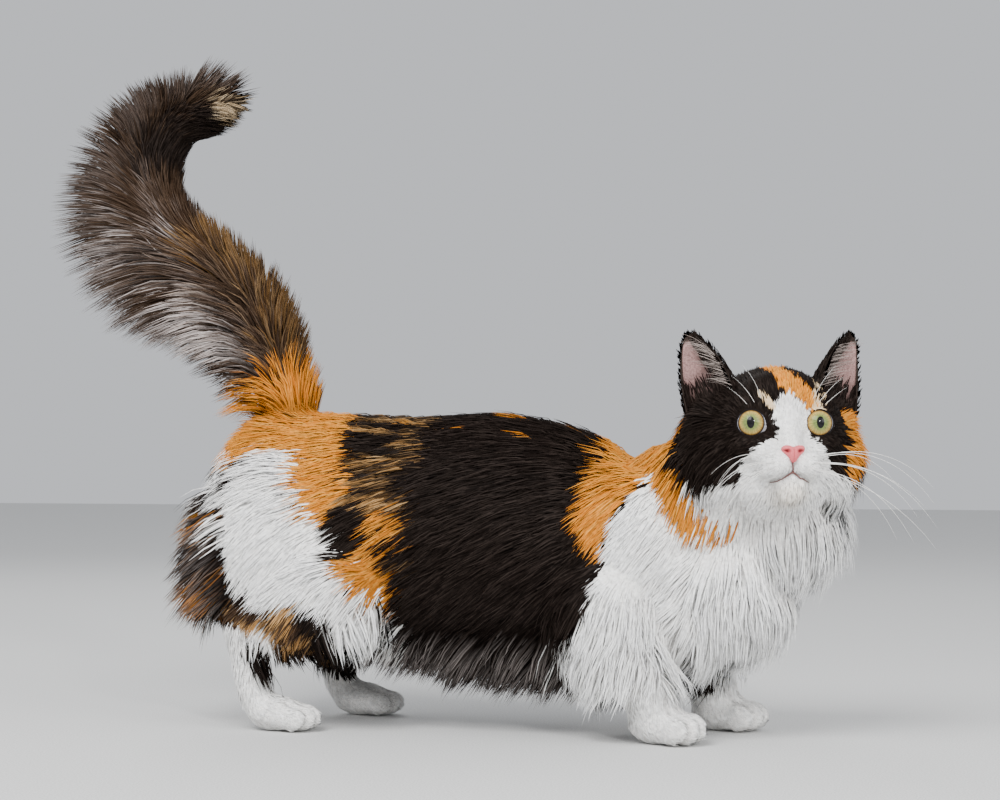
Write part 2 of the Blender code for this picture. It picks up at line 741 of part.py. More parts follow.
def grow_plume(tree, locks, draw):
    """The tail's long hair: it slants out of the flesh towards the tip, longest behind."""
    line = tail_line(PLUME_ROWS)
    for row, (place, along, back, behind, before) in enumerate(line[1:], 1):
        ending = row >= PLUME_ROWS - 2
        around = PLUME_AROUND - 2 if ending else PLUME_AROUND
        for k in range(around):
            a = 2 * math.pi * (k + 0.5 * (row % 2)) / around + draw.uniform(-0.12, 0.12)
            a -= 0.42 * math.sin(a)
            out = back * math.cos(a) + Vector((0, 1, 0)) * math.sin(a)
            root, normal = surface_at(tree, place * MM, out, 46)
            depth = (root / MM - place).dot(out)
            rearward = (1 + math.cos(a)) / 2
            reach = before + (behind - before) * rearward**1.3
            lift = 0.40 + 0.50 * min(max((reach - depth) / 36, 0), 1)
            forth = 1.0 if ending else 0.85 - 0.25 * rearward
            start = mixed((lift + 0.1, out), (forth + 0.25, along))
            end = mixed((lift, out), (forth - 0.15, along), (0.22 * rearward, DOWN))
            rise = (start.dot(out) + end.dot(out)) / 2
            length = min(max((reach - depth) / max(rise, 0.3), 18 if ending else 28), 66)
            length *= draw.uniform(0.88, 1.08)
            set_lock(locks, root, normal, start, end, length, 20 + 6 * rearward, 4.5)
    place, along, back, behind, before = line[-1]
    for k in range(PLUME_END):
        a = 2 * math.pi * k / PLUME_END
        out = back * math.cos(a) + Vector((0, 1, 0)) * math.sin(a)
        root = (place + out * 3) * MM
        set_lock(locks, root, out, along, mixed((1, along), (0.3, out)), 15, 9, 4, sink=8)


def grow_ruff(tree, locks, draw):
    """The bib: locks that hang from the throat down the chest and over the shoulders."""
    for row in range(RUFF_ROWS):
        share = row / (RUFF_ROWS - 1)
        inside = vector(168 - 34 * share**1.6, -6 + 5 * share, 150 - 66 * share)
        for k in range(RUFF_ACROSS):
            spot = (k + 0.5 * (row % 2)) / (RUFF_ACROSS - 1)
            a = math.radians(-118 + 215 * spot) + draw.uniform(-0.05, 0.05)
            out = Vector((math.cos(a), math.sin(a), -0.15)).normalized()
            root, normal = surface_at(tree, inside, out)
            if not root:
                continue
            start = mixed((0.45, normal), (0.9, DOWN))
            end = mixed((0.06, normal), (1, DOWN), (0.55 * share, (-1, 0, 0)))
            length = (42 - 10 * share) * draw.uniform(0.85, 1.15)
            set_lock(locks, root, normal, start, end, length, 27, 5)


def grow_belly(tree, locks, draw):
    """The fringe under the belly, longest behind the elbows."""
    for row, down in enumerate((38, 74)):
        for side in (RIGHT, LEFT):
            for k in range(BELLY_ALONG):
                x = -92 + 168 * (k + 0.5 * (row % 2)) / BELLY_ALONG + draw.uniform(-4, 4)
                a = math.radians(-down)
                out = Vector((0, side * math.cos(a), math.sin(a)))
                root, normal = surface_at(tree, vector(x, 0, 108), out)
                if not root:
                    continue
                ahead = (x + 92) / 168
                longest = 30 + 8 * math.sin(math.pi * min(0.15 + ahead * 0.75, 1))
                start = mixed((0.30, normal), (0.6, DOWN), (0.7, (-1, 0, 0)))
                end = mixed((0.1, normal), (0.85, DOWN), (0.55, (-1, 0, 0)))
                length = longest * draw.uniform(0.85, 1.1)
                set_lock(locks, root, normal, start, end, length, 22, 4.5)


def grow_breeches(tree, locks, draw):
    """Long hair behind the thighs, which hangs back and down to the hocks, and below the thigh's front."""
    for side in (RIGHT, LEFT):
        for row in range(BREECH_ROWS):
            share = row / (BREECH_ROWS - 1)
            inside = vector(-150 + 10 * share, 30 * side, 150 - 76 * share)
            for k in range(BREECH_ACROSS):
                a = math.radians(180 - side * (-52 + 116 * (k + 0.5 * (row % 2)) / BREECH_ACROSS))
                out = Vector((math.cos(a), math.sin(a), -0.1)).normalized()
                root, normal = surface_at(tree, inside, out)
                if not root:
                    continue
                start = mixed((0.5, normal), (0.6, DOWN), (0.6, (-1, 0, 0)))
                end = mixed((0.15, normal), (0.8, DOWN), (0.6, (-1, 0, 0)))
                length = (26 + 15 * math.sin(math.pi * min(share * 1.3, 1))) * draw.uniform(0.9, 1.1)
                set_lock(locks, root, normal, start, end, length, 26, 4.5)
        for k in range(3):
            below = Vector((0.1, side * 0.72, -0.68)).normalized()
            root, normal = surface_at(tree, vector(-120 + 17 * k, 30 * side, 92), below)
            start = mixed((0.3, normal), (0.9, DOWN))
            end = mixed((0.05, normal), (1, DOWN), (0.15, (-1, 0, 0)))
            set_lock(locks, root, normal, start, end, 30, 15, 4.5)


def grow_cheeks(tree, locks, draw):
    """Fur that fans out from each cheek, back and down, and the hair that fills each ear."""
    for side in (RIGHT, LEFT):
        for row in range(CHEEK_ROWS):
            for k in range(CHEEK_DOWN):
                up = 12 - 46 * (k + 0.5 * (row % 2)) / (CHEEK_DOWN - 1)
                out = head_direction(0.1 - 0.42 * row, side, 0)
                root, normal = surface_at(tree, head_point(-2, 0, up), out)
                if not root:
                    continue
                start = mixed((0.5, normal), (0.5, head_direction(-1, 0.3 * side, 0)), (0.45, DOWN))
                end = mixed((0.45, normal), (0.5, head_direction(-1, 0.2 * side, 0)), (0.6, DOWN))
                set_lock(locks, root, normal, start, end, draw.uniform(19, 25), 12, 3.5, 4)
        for ahead, aside, length in ((0.55, 0.25, 22), (0.45, 0.62, 26)):
            out = head_direction(ahead, aside * side, 0.8)
            root, normal = surface_at(tree, head_point(-6, 24 * side, 6), out, 40)
            start = head_direction(0.5, (aside - 0.1) * side, 0.8)
            end = head_direction(0.45, (aside + 0.35) * side, 0.55)
            set_lock(locks, root, normal, start, end, length, 8, 2.4, 4)


def grow_coat(whole):
    """All the locks, seeded, fused to the body in one union."""
    draw = random.Random(11)
    tree = surface_of(whole)
    locks = collection_named("locks")
    for region in (grow_plume, grow_ruff, grow_belly, grow_breeches, grow_cheeks):
        region(tree, locks, draw)
    boolean(whole, "UNION", locks, "MANIFOLD")
    for made in list(locks.objects):
        remove_object(made)
    bpy.data.collections.remove(locks)
    keep_largest(whole)


def add_whiskers(head):
    """Stiff hairs on both pads, arching outwards and down."""
    draw = random.Random(5)
    tree = surface_of(head)
    strands = collection_named("strands")
    for side in (RIGHT, LEFT):
        for k in range(WHISKERS):
            row, column = divmod(k, 3)
            aside, up = (12 + 2.5 * column) * side, -23.5 - 4.2 * row
            root = tree.ray_cast(head_point(90, aside, up), -head_direction(1, 0, 0))[0]
            length = (WHISKER_LENGTH[side] - 7 * column) * draw.uniform(0.85, 1.06)
            ahead = WHISKER_AHEAD[side] - 0.2 * column
            start = head_direction(ahead, side, 0.12 - 0.24 * row)
            fall = Vector((0, 0, -1)) * draw.uniform(0.5, 0.9) + head_direction(-0.4, 0, 0)
            path = [root - start * 3 * MM]
            steps = 4
            for i in range(steps):
                heading = (start + fall * (i / steps) * 0.8).normalized()
                path.append(path[-1] + heading * length / steps * MM)
            widths = [WHISKER_THICK * (1 - 0.12 * i) for i in range(steps)]
            object_from(lambda shape: add_thread(shape, path, widths), "strand", strands)
    boolean(head, "UNION", strands, "MANIFOLD")
    for made in list(strands.objects):
        remove_object(made)
    bpy.data.collections.remove(strands)
    keep_largest(head)


def finish_surfaces(nodes):
    for name, made in nodes.items():
        kind = next(word for word in FINISHES if name.startswith(word))
        colour, roughness = FINISHES[kind]
        material = bpy.data.materials.get(kind) or bpy.data.materials.new(kind)
        material.use_nodes = True
        shader = material.node_tree.nodes["Principled BSDF"]
        shader.inputs["Base Color"].default_value = (*colour, 1)
        shader.inputs["Roughness"].default_value = roughness
        made.data.materials.clear()
        made.data.materials.append(material)
        split_faces(made)


def centre_on_floor(nodes):
    """Moves every node so that the origin is under the middle of the whole box."""
    corners = np.array([v.co for made in nodes.values() for v in made.data.vertices])
    low, high = corners.min(axis=0), corners.max(axis=0)
    shift = Vector((-(low[0] + high[0]) / 2, -(low[1] + high[1]) / 2, -low[2]))
    for made in nodes.values():
        made.data.transform(Matrix.Translation(shift))
    return shift


def whole_flesh(collection, cutters):
    """All the forms blended into one closed surface, finer on the head and paws, cut flat at the floor."""

    def forms(shape):
        add_trunk(shape)
        add_head(shape)
        add_neck(shape)
        add_legs(shape)
        add_tail(shape)

    made = object_from(forms, "flesh", collection)
    remesh = made.modifiers.new("blend", "REMESH")
    remesh.mode = "VOXEL"
    remesh.voxel_size = VOXEL
    smooth = made.modifiers.new("soften", "SMOOTH")
    smooth.factor = 0.5
    smooth.iterations = BLEND_STEPS
    apply_modifiers(made)
    coarse = made.vertex_groups.new(name="coarse")
    for point in made.data.vertices:
        fine = point.co.z < PAW_TOP
        coarse.add([point.index], 0.93 if fine else 1.0, "REPLACE")
    thin = made.modifiers.new("thin", "DECIMATE")
    thin.ratio = FLESH_TRIANGLES / (2 * len(made.data.polygons))
    thin.vertex_group = coarse.name
    thin.vertex_group_factor = 1.0
    apply_modifiers(made)
    floor = prism("floor", [(-400, -60), (400, -60), (400, 0), (-400, 0)], -200, 200, 0, cutters)
    boolean(made, "DIFFERENCE", floor)
    remove_object(floor)
    keep_largest(made)
    return made


def main():
    clear_scene()
    parts = collection_named("munchkin_cat")
    cutters = collection_named("cutters")
    whole = whole_flesh(parts, cutters)
    grow_coat(whole)
    nodes = part_body(whole, parts, cutters)
    head = nodes["head"]
    dig_eyes(head, nodes, parts, cutters)
    set_nose(head, nodes, parts, cutters)
    cut_mouth(head, cutters)
    set_ears(head, nodes, parts, cutters)
    add_whiskers(head)
    finish_surfaces(nodes)
    bpy.data.collections.remove(cutters)
    return centre_on_floor(nodes)


LAST_SHIFT = main()
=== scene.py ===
import math
from collections import namedtuple

import bmesh
import bpy
import numpy as np
from mathutils import Matrix, Vector, kdtree
from mathutils.bvhtree import BVHTree


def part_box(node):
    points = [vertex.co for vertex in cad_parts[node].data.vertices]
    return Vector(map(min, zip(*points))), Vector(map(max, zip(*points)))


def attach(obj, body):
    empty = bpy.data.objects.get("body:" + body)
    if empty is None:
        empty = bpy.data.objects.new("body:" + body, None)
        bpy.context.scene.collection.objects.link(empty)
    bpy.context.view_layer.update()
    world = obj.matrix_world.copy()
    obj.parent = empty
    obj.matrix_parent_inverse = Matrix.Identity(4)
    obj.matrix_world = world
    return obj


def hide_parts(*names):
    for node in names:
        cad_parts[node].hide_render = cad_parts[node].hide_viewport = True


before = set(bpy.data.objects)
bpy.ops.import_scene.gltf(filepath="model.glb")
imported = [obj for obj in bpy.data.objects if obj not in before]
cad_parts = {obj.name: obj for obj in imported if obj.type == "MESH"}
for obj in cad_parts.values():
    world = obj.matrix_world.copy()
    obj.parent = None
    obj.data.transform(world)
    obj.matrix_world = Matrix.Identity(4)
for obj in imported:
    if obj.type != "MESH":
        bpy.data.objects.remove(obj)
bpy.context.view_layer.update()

# The skin.
# One closed skin over head, neck, trunk, legs and tail, blended from rounds and limbs. It lies inside the
# solids by the depth of the coat that grows on it, so the tips of the hairs end where the solids end.
# Sizes are in millimetres: X runs to the chest, Y to the cat's left and Z up from the floor.
MM = 0.001
RIGHT, LEFT = -1, 1
SIDES = (("right", RIGHT), ("left", LEFT))
DOWN = np.array([0.0, 0.0, -1.0])
SKIN_VOXEL = 2.6

HEAD_PLACE = Vector((177, -34, 186))
HEAD_TURN = math.radians(-66)
HEAD_TILT = math.radians(7)
level = math.cos(HEAD_TILT)
ahead = Vector((math.cos(HEAD_TURN) * level, math.sin(HEAD_TURN) * level, math.sin(HEAD_TILT)))
aside = Vector((-math.sin(HEAD_TURN), math.cos(HEAD_TURN), 0))
HEAD_AXES = Matrix((ahead, aside, ahead.cross(aside))).transposed()
HEAD_MIDDLE, HEAD_BASIS = np.array(HEAD_PLACE), np.array(HEAD_AXES)
SOLID_EYE = (23.0, -19.7, -1.0)


def head_point(forth, sideways, up):
    """A place given in millimetres from the skull's middle, along the head's own axes."""
    return HEAD_PLACE + HEAD_AXES @ Vector((forth, sideways, up))


def in_head(places):
    """Places along the head's own axes: forth, to its left and up from the skull's middle."""
    return (places - HEAD_MIDDLE) @ HEAD_BASIS


def from_head(local):
    """The way back: places along the head's axes, in the axes of the body."""
    return HEAD_MIDDLE + local @ HEAD_BASIS.T


low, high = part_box("eye_right")
SHIFT = (low + high) / 2 - head_point(*SOLID_EYE) * MM


def in_frame(places):
    """Places of this script, in millimetres, in the frame's metres."""
    return np.asarray(places, float) * MM + np.array(SHIFT)


def curve_through(values, count):
    """count values along a smooth curve through the given ones."""
    given = np.array(values, float)
    padded = np.concatenate([[2 * given[0] - given[1]], given, [2 * given[-1] - given[-2]]])
    along = np.linspace(0, len(given) - 1, count)
    step = np.minimum(along.astype(int), len(given) - 2)
    t = along - step
    before, start, end, after = (padded[step + k] for k in range(4))
    return 0.5 * (
        2 * start
        + (end - before) * t
        + (2 * before - 5 * start + 4 * end - after) * t**2
        + (3 * start - before - 3 * end + after) * t**3
    )


def course_through(points, count):
    """count places along a smooth curve through the given places."""
    return np.stack([curve_through(row, count) for row in zip(*points)], axis=1)


def fade(values, start, span):
    """0 up to start, then rising to 1 over the span; below start where the span is negative."""
    return np.clip((values - start) / span, 0, 1)


EYE_RADIUS = 10.3
EYE_PLACE = (23.0, 18.9, -1.0)
EYES = {side: np.array(EYE_PLACE) * (1, side, 1) for side in (RIGHT, LEFT)}
GAZE = {RIGHT: (0.96, -0.29, -0.03), LEFT: (0.97, -0.03, -0.03)}
LID_HALF = (8.7, 7.9)
LID_CORNER = (math.radians(-25), 4.0, math.radians(14))


def eye_axes(side):
    """The eye's middle, and its directions to the nose, up and along its gaze."""
    gaze = HEAD_BASIS @ np.array(GAZE[side])
    gaze /= np.linalg.norm(gaze)
    inward = HEAD_BASIS @ np.array((0.0, -side, 0.0))
    inward -= gaze * (inward @ gaze)
    inward /= np.linalg.norm(inward)
    top = HEAD_BASIS[:, 2]
    up = top - gaze * (top @ gaze) - inward * (top @ inward)
    return np.array(head_point(*EYES[side])), inward, up / np.linalg.norm(up), gaze


def lid_reach(turn):
    """How far the lids' edge lies from the axis of the gaze, by the angle round it."""
    reach = 1 / np.sqrt((np.cos(turn) / LID_HALF[0]) ** 2 + (np.sin(turn) / LID_HALF[1]) ** 2)
    corner_turn, corner_reach, corner_width = LID_CORNER
    angle = (turn - corner_turn + math.pi) % (2 * math.pi) - math.pi
    return reach + corner_reach * np.exp(-(angle / corner_width) ** 2)


def lid_gap(places, side):
    """How far outside the lids' edge each place lies, and whether it lies on the eye's front."""
    middle, inward, up, gaze = eye_axes(side)
    off = places - middle
    a, b = off @ inward, off @ up
    return np.hypot(a, b) - lid_reach(np.arctan2(b, a)), off @ gaze > 0


def add_ball(shape, place, radii, turn=None, rings=20):
    """A round form with three radii, turned where a turn is given."""
    pose = Matrix.Translation(Vector(place)) @ (turn.to_4x4() if turn else Matrix.Identity(4))
    pose = pose @ Matrix.Diagonal((*radii, 1))
    bmesh.ops.create_uvsphere(shape, u_segments=2 * rings, v_segments=rings, radius=1, matrix=pose)


def close_rings(shape, rings, joined=False):
    """Joins rings of points to a tube: joined to its own start, or closed with flat ends."""
    count = len(rings[0])
    for near, far in zip(rings, rings[1:] + (rings[:1] if joined else [])):
        for i in range(count):
            j = (i + 1) % count
            shape.faces.new((near[i], near[j], far[j], far[i]))
    if not joined:
        shape.faces.new(rings[0][::-1])
        shape.faces.new(rings[-1])


def add_limb(shape, points, radii, count=24, sides=24):
    """A round limb along a smooth curve, with a dome at each end."""
    path = course_through(points, count)
    widths = [float(w) for w in curve_through(radii, count)]
    rings = []
    for i, centre in enumerate(path):
        along = Vector(path[min(i + 1, count - 1)] - path[max(i - 1, 0)]).normalized()
        across = along.cross(Vector((0.2, 1, 0.1))).normalized()
        other = along.cross(across)
        ring = []
        for a in (2 * math.pi * k / sides for k in range(sides)):
            outward = across * math.cos(a) + other * math.sin(a)
            ring.append(shape.verts.new(Vector(centre) + outward * widths[i]))
        rings.append(ring)
    close_rings(shape, rings)
    for centre, width in ((path[0], widths[0]), (path[-1], widths[-1])):
        add_ball(shape, Vector(centre), (width,) * 3, rings=12)


TRUNK_X = [-198, -186, -160, -120, -60, 0, 45, 85, 118, 146, 166]
TRUNK_TOP = [160, 180, 197, 198, 196, 197, 188, 171, 158, 142, 122]
TRUNK_UNDER = [128, 102, 80, 66, 50, 40, 37, 38, 46, 60, 82]
TRUNK_HALF = [14, 34, 50, 56, 59, 61, 59, 55, 50, 42, 24]
BELLY_FULLER = 0.10


def add_trunk(shape, count=60, sides=48):
    """Rump, barrel and chest, a little fuller under than over."""
    rows = (TRUNK_X, TRUNK_TOP, TRUNK_UNDER, TRUNK_HALF)
    x, top, under, half = (curve_through(row, count) for row in rows)
    rings = []
    for i in range(count):
        middle, rise = (top[i] + under[i]) / 2, (top[i] - under[i]) / 2
        ring = []
        for a in (2 * math.pi * k / sides for k in range(sides)):
            fullness = 1 - BELLY_FULLER * math.sin(a)
            place = (x[i], half[i] * fullness * math.cos(a), middle + rise * math.sin(a))
            ring.append(shape.verts.new(place))
        rings.append(ring[::-1])
    close_rings(shape, rings)


# Rounds of the head, each with its place along the head's axes and its radii: skull, forehead, face, throat
# and chin; then, on each side, cheek, whisker pad, brow, under the eye, temple, eye and root of the ear.
HEAD_ROUNDS = [((-12, 0, 7), (38, 37, 31)), ((12, 0, 12), (25, 29, 20)), ((8, 0, -8), (28, 38, 27)),
               ((4, 0, -34), (29, 29, 20)), ((31, 0, -41), (11, 10.5, 8.5))]
SIDE_ROUNDS = [((-6, 30, -18), (27, 21, 27)), ((35.5, 9.5, -27), (13, 12, 10.5)),
               ((20, 18, 10), (13, 14, 9)), ((21, 21, -13), (13, 13, 10)), ((14, 28, -1), (13, 10, 14)),
               (EYE_PLACE, (EYE_RADIUS + 3.2,) * 3), ((-12, 38, 4), (15, 12, 16))]
NOSE_BRIDGE = [(16, 0, 8), (30, 0, -5), (40, 0, -18)]


def add_head(shape):
    """Skull, cheeks, bridge of the nose, whisker pads and chin."""
    for place, radii in HEAD_ROUNDS:
        add_ball(shape, head_point(*place), radii, HEAD_AXES)
    add_limb(shape, [head_point(*place) for place in NOSE_BRIDGE], [12, 10, 7.5], 8)
    for side in (RIGHT, LEFT):
        for (forth, sideways, up), radii in SIDE_ROUNDS:
            add_ball(shape, head_point(forth, sideways * side, up), radii, HEAD_AXES)


def add_neck(shape):
    """Neck, nape, throat, and the chest down to between the forelegs."""
    line = [(84, 0, 118), (120, -4, 138), (148, -16, 160), (168, -28, 180)]
    add_limb(shape, line, [46, 45, 41, 34])
    add_ball(shape, (150, -10, 176), (38, 38, 34))
    add_ball(shape, (178, -2, 136), (32, 46, 36))
    add_ball(shape, (148, -2, 98), (34, 46, 42))
    add_ball(shape, (114, 0, 82), (42, 52, 42))


# Where each paw stands and which way it points in degrees; and how long, wide and tall it is.
PAWS = {
    "forepaw_right": ((113, -48), -14),
    "forepaw_left": ((132, 32), -8),
    "hindpaw_right": ((-128, -56), -2),
    "hindpaw_left": ((-112, 44), 2),
}
PAW_SIZES = {"fore": (52, 37, 24), "hind": (50, 34, 21)}
TOES = ((-0.33, 0.20), (-0.12, 0.30), (0.12, 0.30), (0.33, 0.20))


def add_paw(shape, place, heading, long, wide, tall):
    """A paw with four toes."""
    turn = Matrix.Rotation(math.radians(heading), 3, "Z")

    def paw_point(forth, sideways, up):
        return Vector((*place, 0)) + turn @ Vector((forth, sideways, up))

    add_ball(shape, paw_point(-4, 0, tall * 0.5), (long * 0.40, wide * 0.46, tall * 0.56), turn)
    for sideways, forth in TOES:
        radii = (long * 0.22, wide * 0.155, tall * 0.42)
        add_ball(shape, paw_point(long * forth, wide * sideways, tall * 0.40), radii, turn)


def add_legs(shape):
    """Four short legs, each from its shoulder or thigh down to the paw."""
    for word, side in SIDES:
        (x, y), heading = PAWS["forepaw_" + word]
        add_ball(shape, (84, 34 * side, 112), (46, 27, 54))
        line = [(76, 42 * side, 84), (x - 26, (y + 42 * side) / 2, 56), (x - 12, y, 32), (x - 5, y, 14)]
        add_limb(shape, line, [33, 27, 19, 13.5])
        add_paw(shape, (x, y), heading, *PAW_SIZES["fore"])
    for word, side in SIDES:
        (x, y), heading = PAWS["hindpaw_" + word]
        add_ball(shape, (-138, 36 * side, 112), (58, 30, 62))
        line = [(-92, 46 * side, 86), (x + 6, y - 6 * side, 76), (x - 26, y, 64)]
        add_limb(shape, line, [31, 28, 15])
        line = [(x - 27, y, 66), (x - 24, y, 42), (x - 17, y, 18), (x - 4, y, 12)]
        add_limb(shape, line, [14, 11.5, 11.5, 10.5])
        add_paw(shape, (x, y), heading, *PAW_SIZES["hind"])


TAIL_X = [-136, -150, -162, -177, -199, -223, -242, -250, -246, -232, -214, -199]
TAIL_Z = [182, 206, 238, 267, 290, 309, 330, 354, 376, 391, 399, 402]
PLUME_BACK = [36, 44, 62, 80, 82, 77, 69, 55, 40, 29, 22, 15]
PLUME_FRONT = [30, 28, 31, 29, 28, 26, 28, 32, 32, 29, 22, 13]
CORE_BACK, CORE_FRONT = 0.37, 0.60


def tail_line(count):
    """Rows along the tail: place, direction, back, and the plume's reach behind and in front."""
    rows = (TAIL_X, TAIL_Z, PLUME_BACK, PLUME_FRONT)
    x, z, behind, before = (curve_through(row, count) for row in rows)
    place = np.stack([x, np.zeros(count), z], axis=1)
    along = np.gradient(place, axis=0)
    along /= np.linalg.norm(along, axis=1, keepdims=True)
    back = np.stack([-along[:, 2], np.zeros(count), along[:, 0]], axis=1)
    return place, along, back, behind, before


def add_tail(shape):
    """The tail under its plume, thicker behind than before."""
    place, along, back, behind, before = tail_line(len(TAIL_X))
    behind, before = behind * CORE_BACK, before * CORE_FRONT
    points = place + back * ((behind - before) / 2)[:, None]
    add_limb(shape, points, (behind + before) / 2, count=60)


# Bones of the coat: chains of rounds that say which coat grows where. line and radii are the rounds, lie is
# the way the hair points, lift how many degrees it stands up at root and tip, length and width a tuft's,
# depth the coat's over the skin, and droop how much the hair hangs.
Bone = namedtuple("Bone", "line radii lie lift length width depth droop")


def leg_bones():
    """The bones of shoulders, thighs, legs and paws."""
    bones = {}
    for word, side in SIDES:
        (x, y), heading = PAWS["forepaw_" + word]
        line = [(84, 30 * side, 120), (78, 42 * side, 84)]
        bones["shoulder_" + word] = Bone(line, [32, 32], (-0.45, 0, -0.9), (18, 7), 23, 1.4, 5.5, 0.1)
        line = [(x - 28, (y + 42 * side) / 2, 58), (x - 12, y, 32), (x - 8, y, 20)]
        bones["foreleg_" + word] = Bone(line, [25, 18, 14], (-0.2, 0, -1), (18, 7), 13, 1.1, 3.0, 0.1)
        toes = (math.cos(math.radians(heading)), math.sin(math.radians(heading)), -0.35)
        line = [(x - 16, y, 11), (x + 14, y, 9)]
        bones["forepaw_" + word] = Bone(line, [13, 12], toes, (13, 4), 3.8, 0.75, 1.1, 0)
        (x, y), heading = PAWS["hindpaw_" + word]
        line = [(-140, 34 * side, 118), (-112, 44 * side, 88)]
        bones["thigh_" + word] = Bone(line, [36, 32], (-0.62, 0, -0.78), (20, 8), 24, 1.4, 5.5, 0.1)
        line = [(x - 27, y, 60), (x - 24, y, 42), (x - 19, y, 22)]
        bones["hock_" + word] = Bone(line, [14, 12, 12], (-0.1, 0, -1), (18, 6), 8, 1.0, 2.0, 0)
        toes = (math.cos(math.radians(heading)), math.sin(math.radians(heading)), -0.35)
        line = [(x - 14, y, 10), (x + 14, y, 8)]
        bones["hindpaw_" + word] = Bone(line, [12, 11], toes, (13, 4), 3.8, 0.75, 1.1, 0)
    return bones


HEAD_LINE = [tuple(head_point(-10, 0, 4)), tuple(head_point(20, 0, -18))]
NECK_LINE = [(112, -2, 140), (146, -14, 162)]
BIB_LINE = [(172, -4, 140), (150, -2, 100)]
TRUNK_LINE = [(-130, 0, 134), (0, 0, 120), (84, 0, 108)]
RUMP_LINE = [(-150, 0, 152), (-172, 0, 146)]
BONES = {
    "head": Bone(HEAD_LINE, [38, 26], None, (20, 8), 9, 0.95, 2.4, 0),
    "neck": Bone(NECK_LINE, [42, 38], (-0.40, 0, -0.9), (22, 9), 26, 1.4, 6.5, 0.15),
    "bib": Bone(BIB_LINE, [36, 38], (0.10, 0, -1), (34, 8), 36, 1.5, 9.0, 0.4),
    "trunk": Bone(TRUNK_LINE, [62, 66, 60], None, (17, 5), 24, 1.4, 5.5, 0.1),
    "rump": Bone(RUMP_LINE, [46, 38], (-0.8, 0, -0.5), (19, 8), 23, 1.4, 5.5, 0.1),
    "tail": Bone(None, None, None, (0, 0), 40, 1.5, 4.0, 0),
    **leg_bones(),
}
BONE_NAMES = list(BONES)
TAIL_STEPS = 80
TAIL_FIRST = 9
TAIL_PLACE, TAIL_ALONG, TAIL_BACK, TAIL_BEHIND, TAIL_BEFORE = tail_line(TAIL_STEPS)
FLESH_BACK, FLESH_FRONT = 0.30, 0.42
FAR_AWAY = 1e9


def nearest_tail(places):
    """For each place the nearest step of the tail's line, and its distance in millimetres."""
    best = np.zeros(len(places), int)
    least = np.full(len(places), FAR_AWAY)
    for i in range(TAIL_FIRST, TAIL_STEPS):
        d = np.linalg.norm(places - TAIL_PLACE[i], axis=1)
        closer = d < least
        best[closer], least[closer] = i, d[closer]
    return best, least


def bone_distances(places):
    """How far each place lies outside each bone, in millimetres."""
    columns = []
    for name, bone in BONES.items():
        if name == "tail":
            step, d = nearest_tail(places)
            columns.append(d - (TAIL_BEHIND[step] * FLESH_BACK + TAIL_BEFORE[step] * FLESH_FRONT))
            continue
        line = np.array(bone.line, float)
        least = np.full(len(places), FAR_AWAY)
        for i in range(len(line) - 1):
            span = line[i + 1] - line[i]
            t = np.clip((places - line[i]) @ span / (span @ span), 0, 1)
            d = np.linalg.norm(places - line[i] - t[:, None] * span, axis=1)
            least = np.minimum(least, d - (bone.radii[i] + (bone.radii[i + 1] - bone.radii[i]) * t))
        columns.append(least)
    return np.stack(columns, axis=1)


def bone_shares(places, blend=6.0):
    """How much each bone counts at each place."""
    distances = bone_distances(places)
    shares = np.exp(-(distances - distances.min(axis=1, keepdims=True)) / blend)
    return shares / shares.sum(axis=1, keepdims=True)


def mesh_arrays(mesh):
    """Corner places, normals and triangles of a mesh as arrays."""
    places = np.zeros(len(mesh.vertices) * 3, np.float32)
    mesh.vertices.foreach_get("co", places)
    normals = np.zeros(len(mesh.vertices) * 3, np.float32)
    mesh.vertices.foreach_get("normal", normals)
    mesh.calc_loop_triangles()
    corners = np.zeros(len(mesh.loop_triangles) * 3, np.int32)
    mesh.loop_triangles.foreach_get("vertices", corners)
    return places.reshape(-1, 3).astype(float), normals.reshape(-1, 3).astype(float), corners.reshape(-1, 3)


def put_in_scene(name, data):
    """A new object of the scene from a mesh, a lamp or a camera."""
    made = bpy.data.objects.new(name, data)
    bpy.context.scene.collection.objects.link(made)
    return made


def make_smooth(mesh):
    """Smooth shading all over."""
    mesh.polygons.foreach_set("use_smooth", [True] * len(mesh.polygons))


PAW_TOP = 24
FACE_AHEAD, FACE_REACH = 8, 62


def make_skin():
    """Blends the rounds and limbs to one skin, and divides it finer on the paws and the face."""
    shape = bmesh.new()
    for add in (add_trunk, add_head, add_neck, add_legs, add_tail):
        add(shape)
    bmesh.ops.scale(shape, vec=(MM, MM, MM), verts=shape.verts)
    mesh = bpy.data.meshes.new("skin")
    shape.to_mesh(mesh)
    shape.free()
    made = put_in_scene("skin", mesh)
    blend = made.modifiers.new("blend", "REMESH")
    blend.mode = "VOXEL"
    blend.voxel_size = SKIN_VOXEL * MM
    soften = made.modifiers.new("soften", "SMOOTH")
    soften.factor = 0.5
    soften.iterations = 12
    bpy.context.view_layer.update()
    made.data = bpy.data.meshes.new_from_object(made.evaluated_get(bpy.context.evaluated_depsgraph_get()))
    made.modifiers.clear()
    fine = bmesh.new()
    fine.from_mesh(made.data)
    face = HEAD_PLACE * MM + ahead * FACE_AHEAD * MM
    finer = []
    for edge in fine.edges:
        place = edge.verts[0].co
        in_face = (place - face).dot(ahead) > 0 and (place - face).length < FACE_REACH * MM
        if place.z < PAW_TOP * MM or in_face:
            finer.append(edge)
    bmesh.ops.subdivide_edges(fine, edges=finer, cuts=1, use_grid_fill=True, smooth=0.6)
    fine.to_mesh(made.data)
    fine.free()
    return made


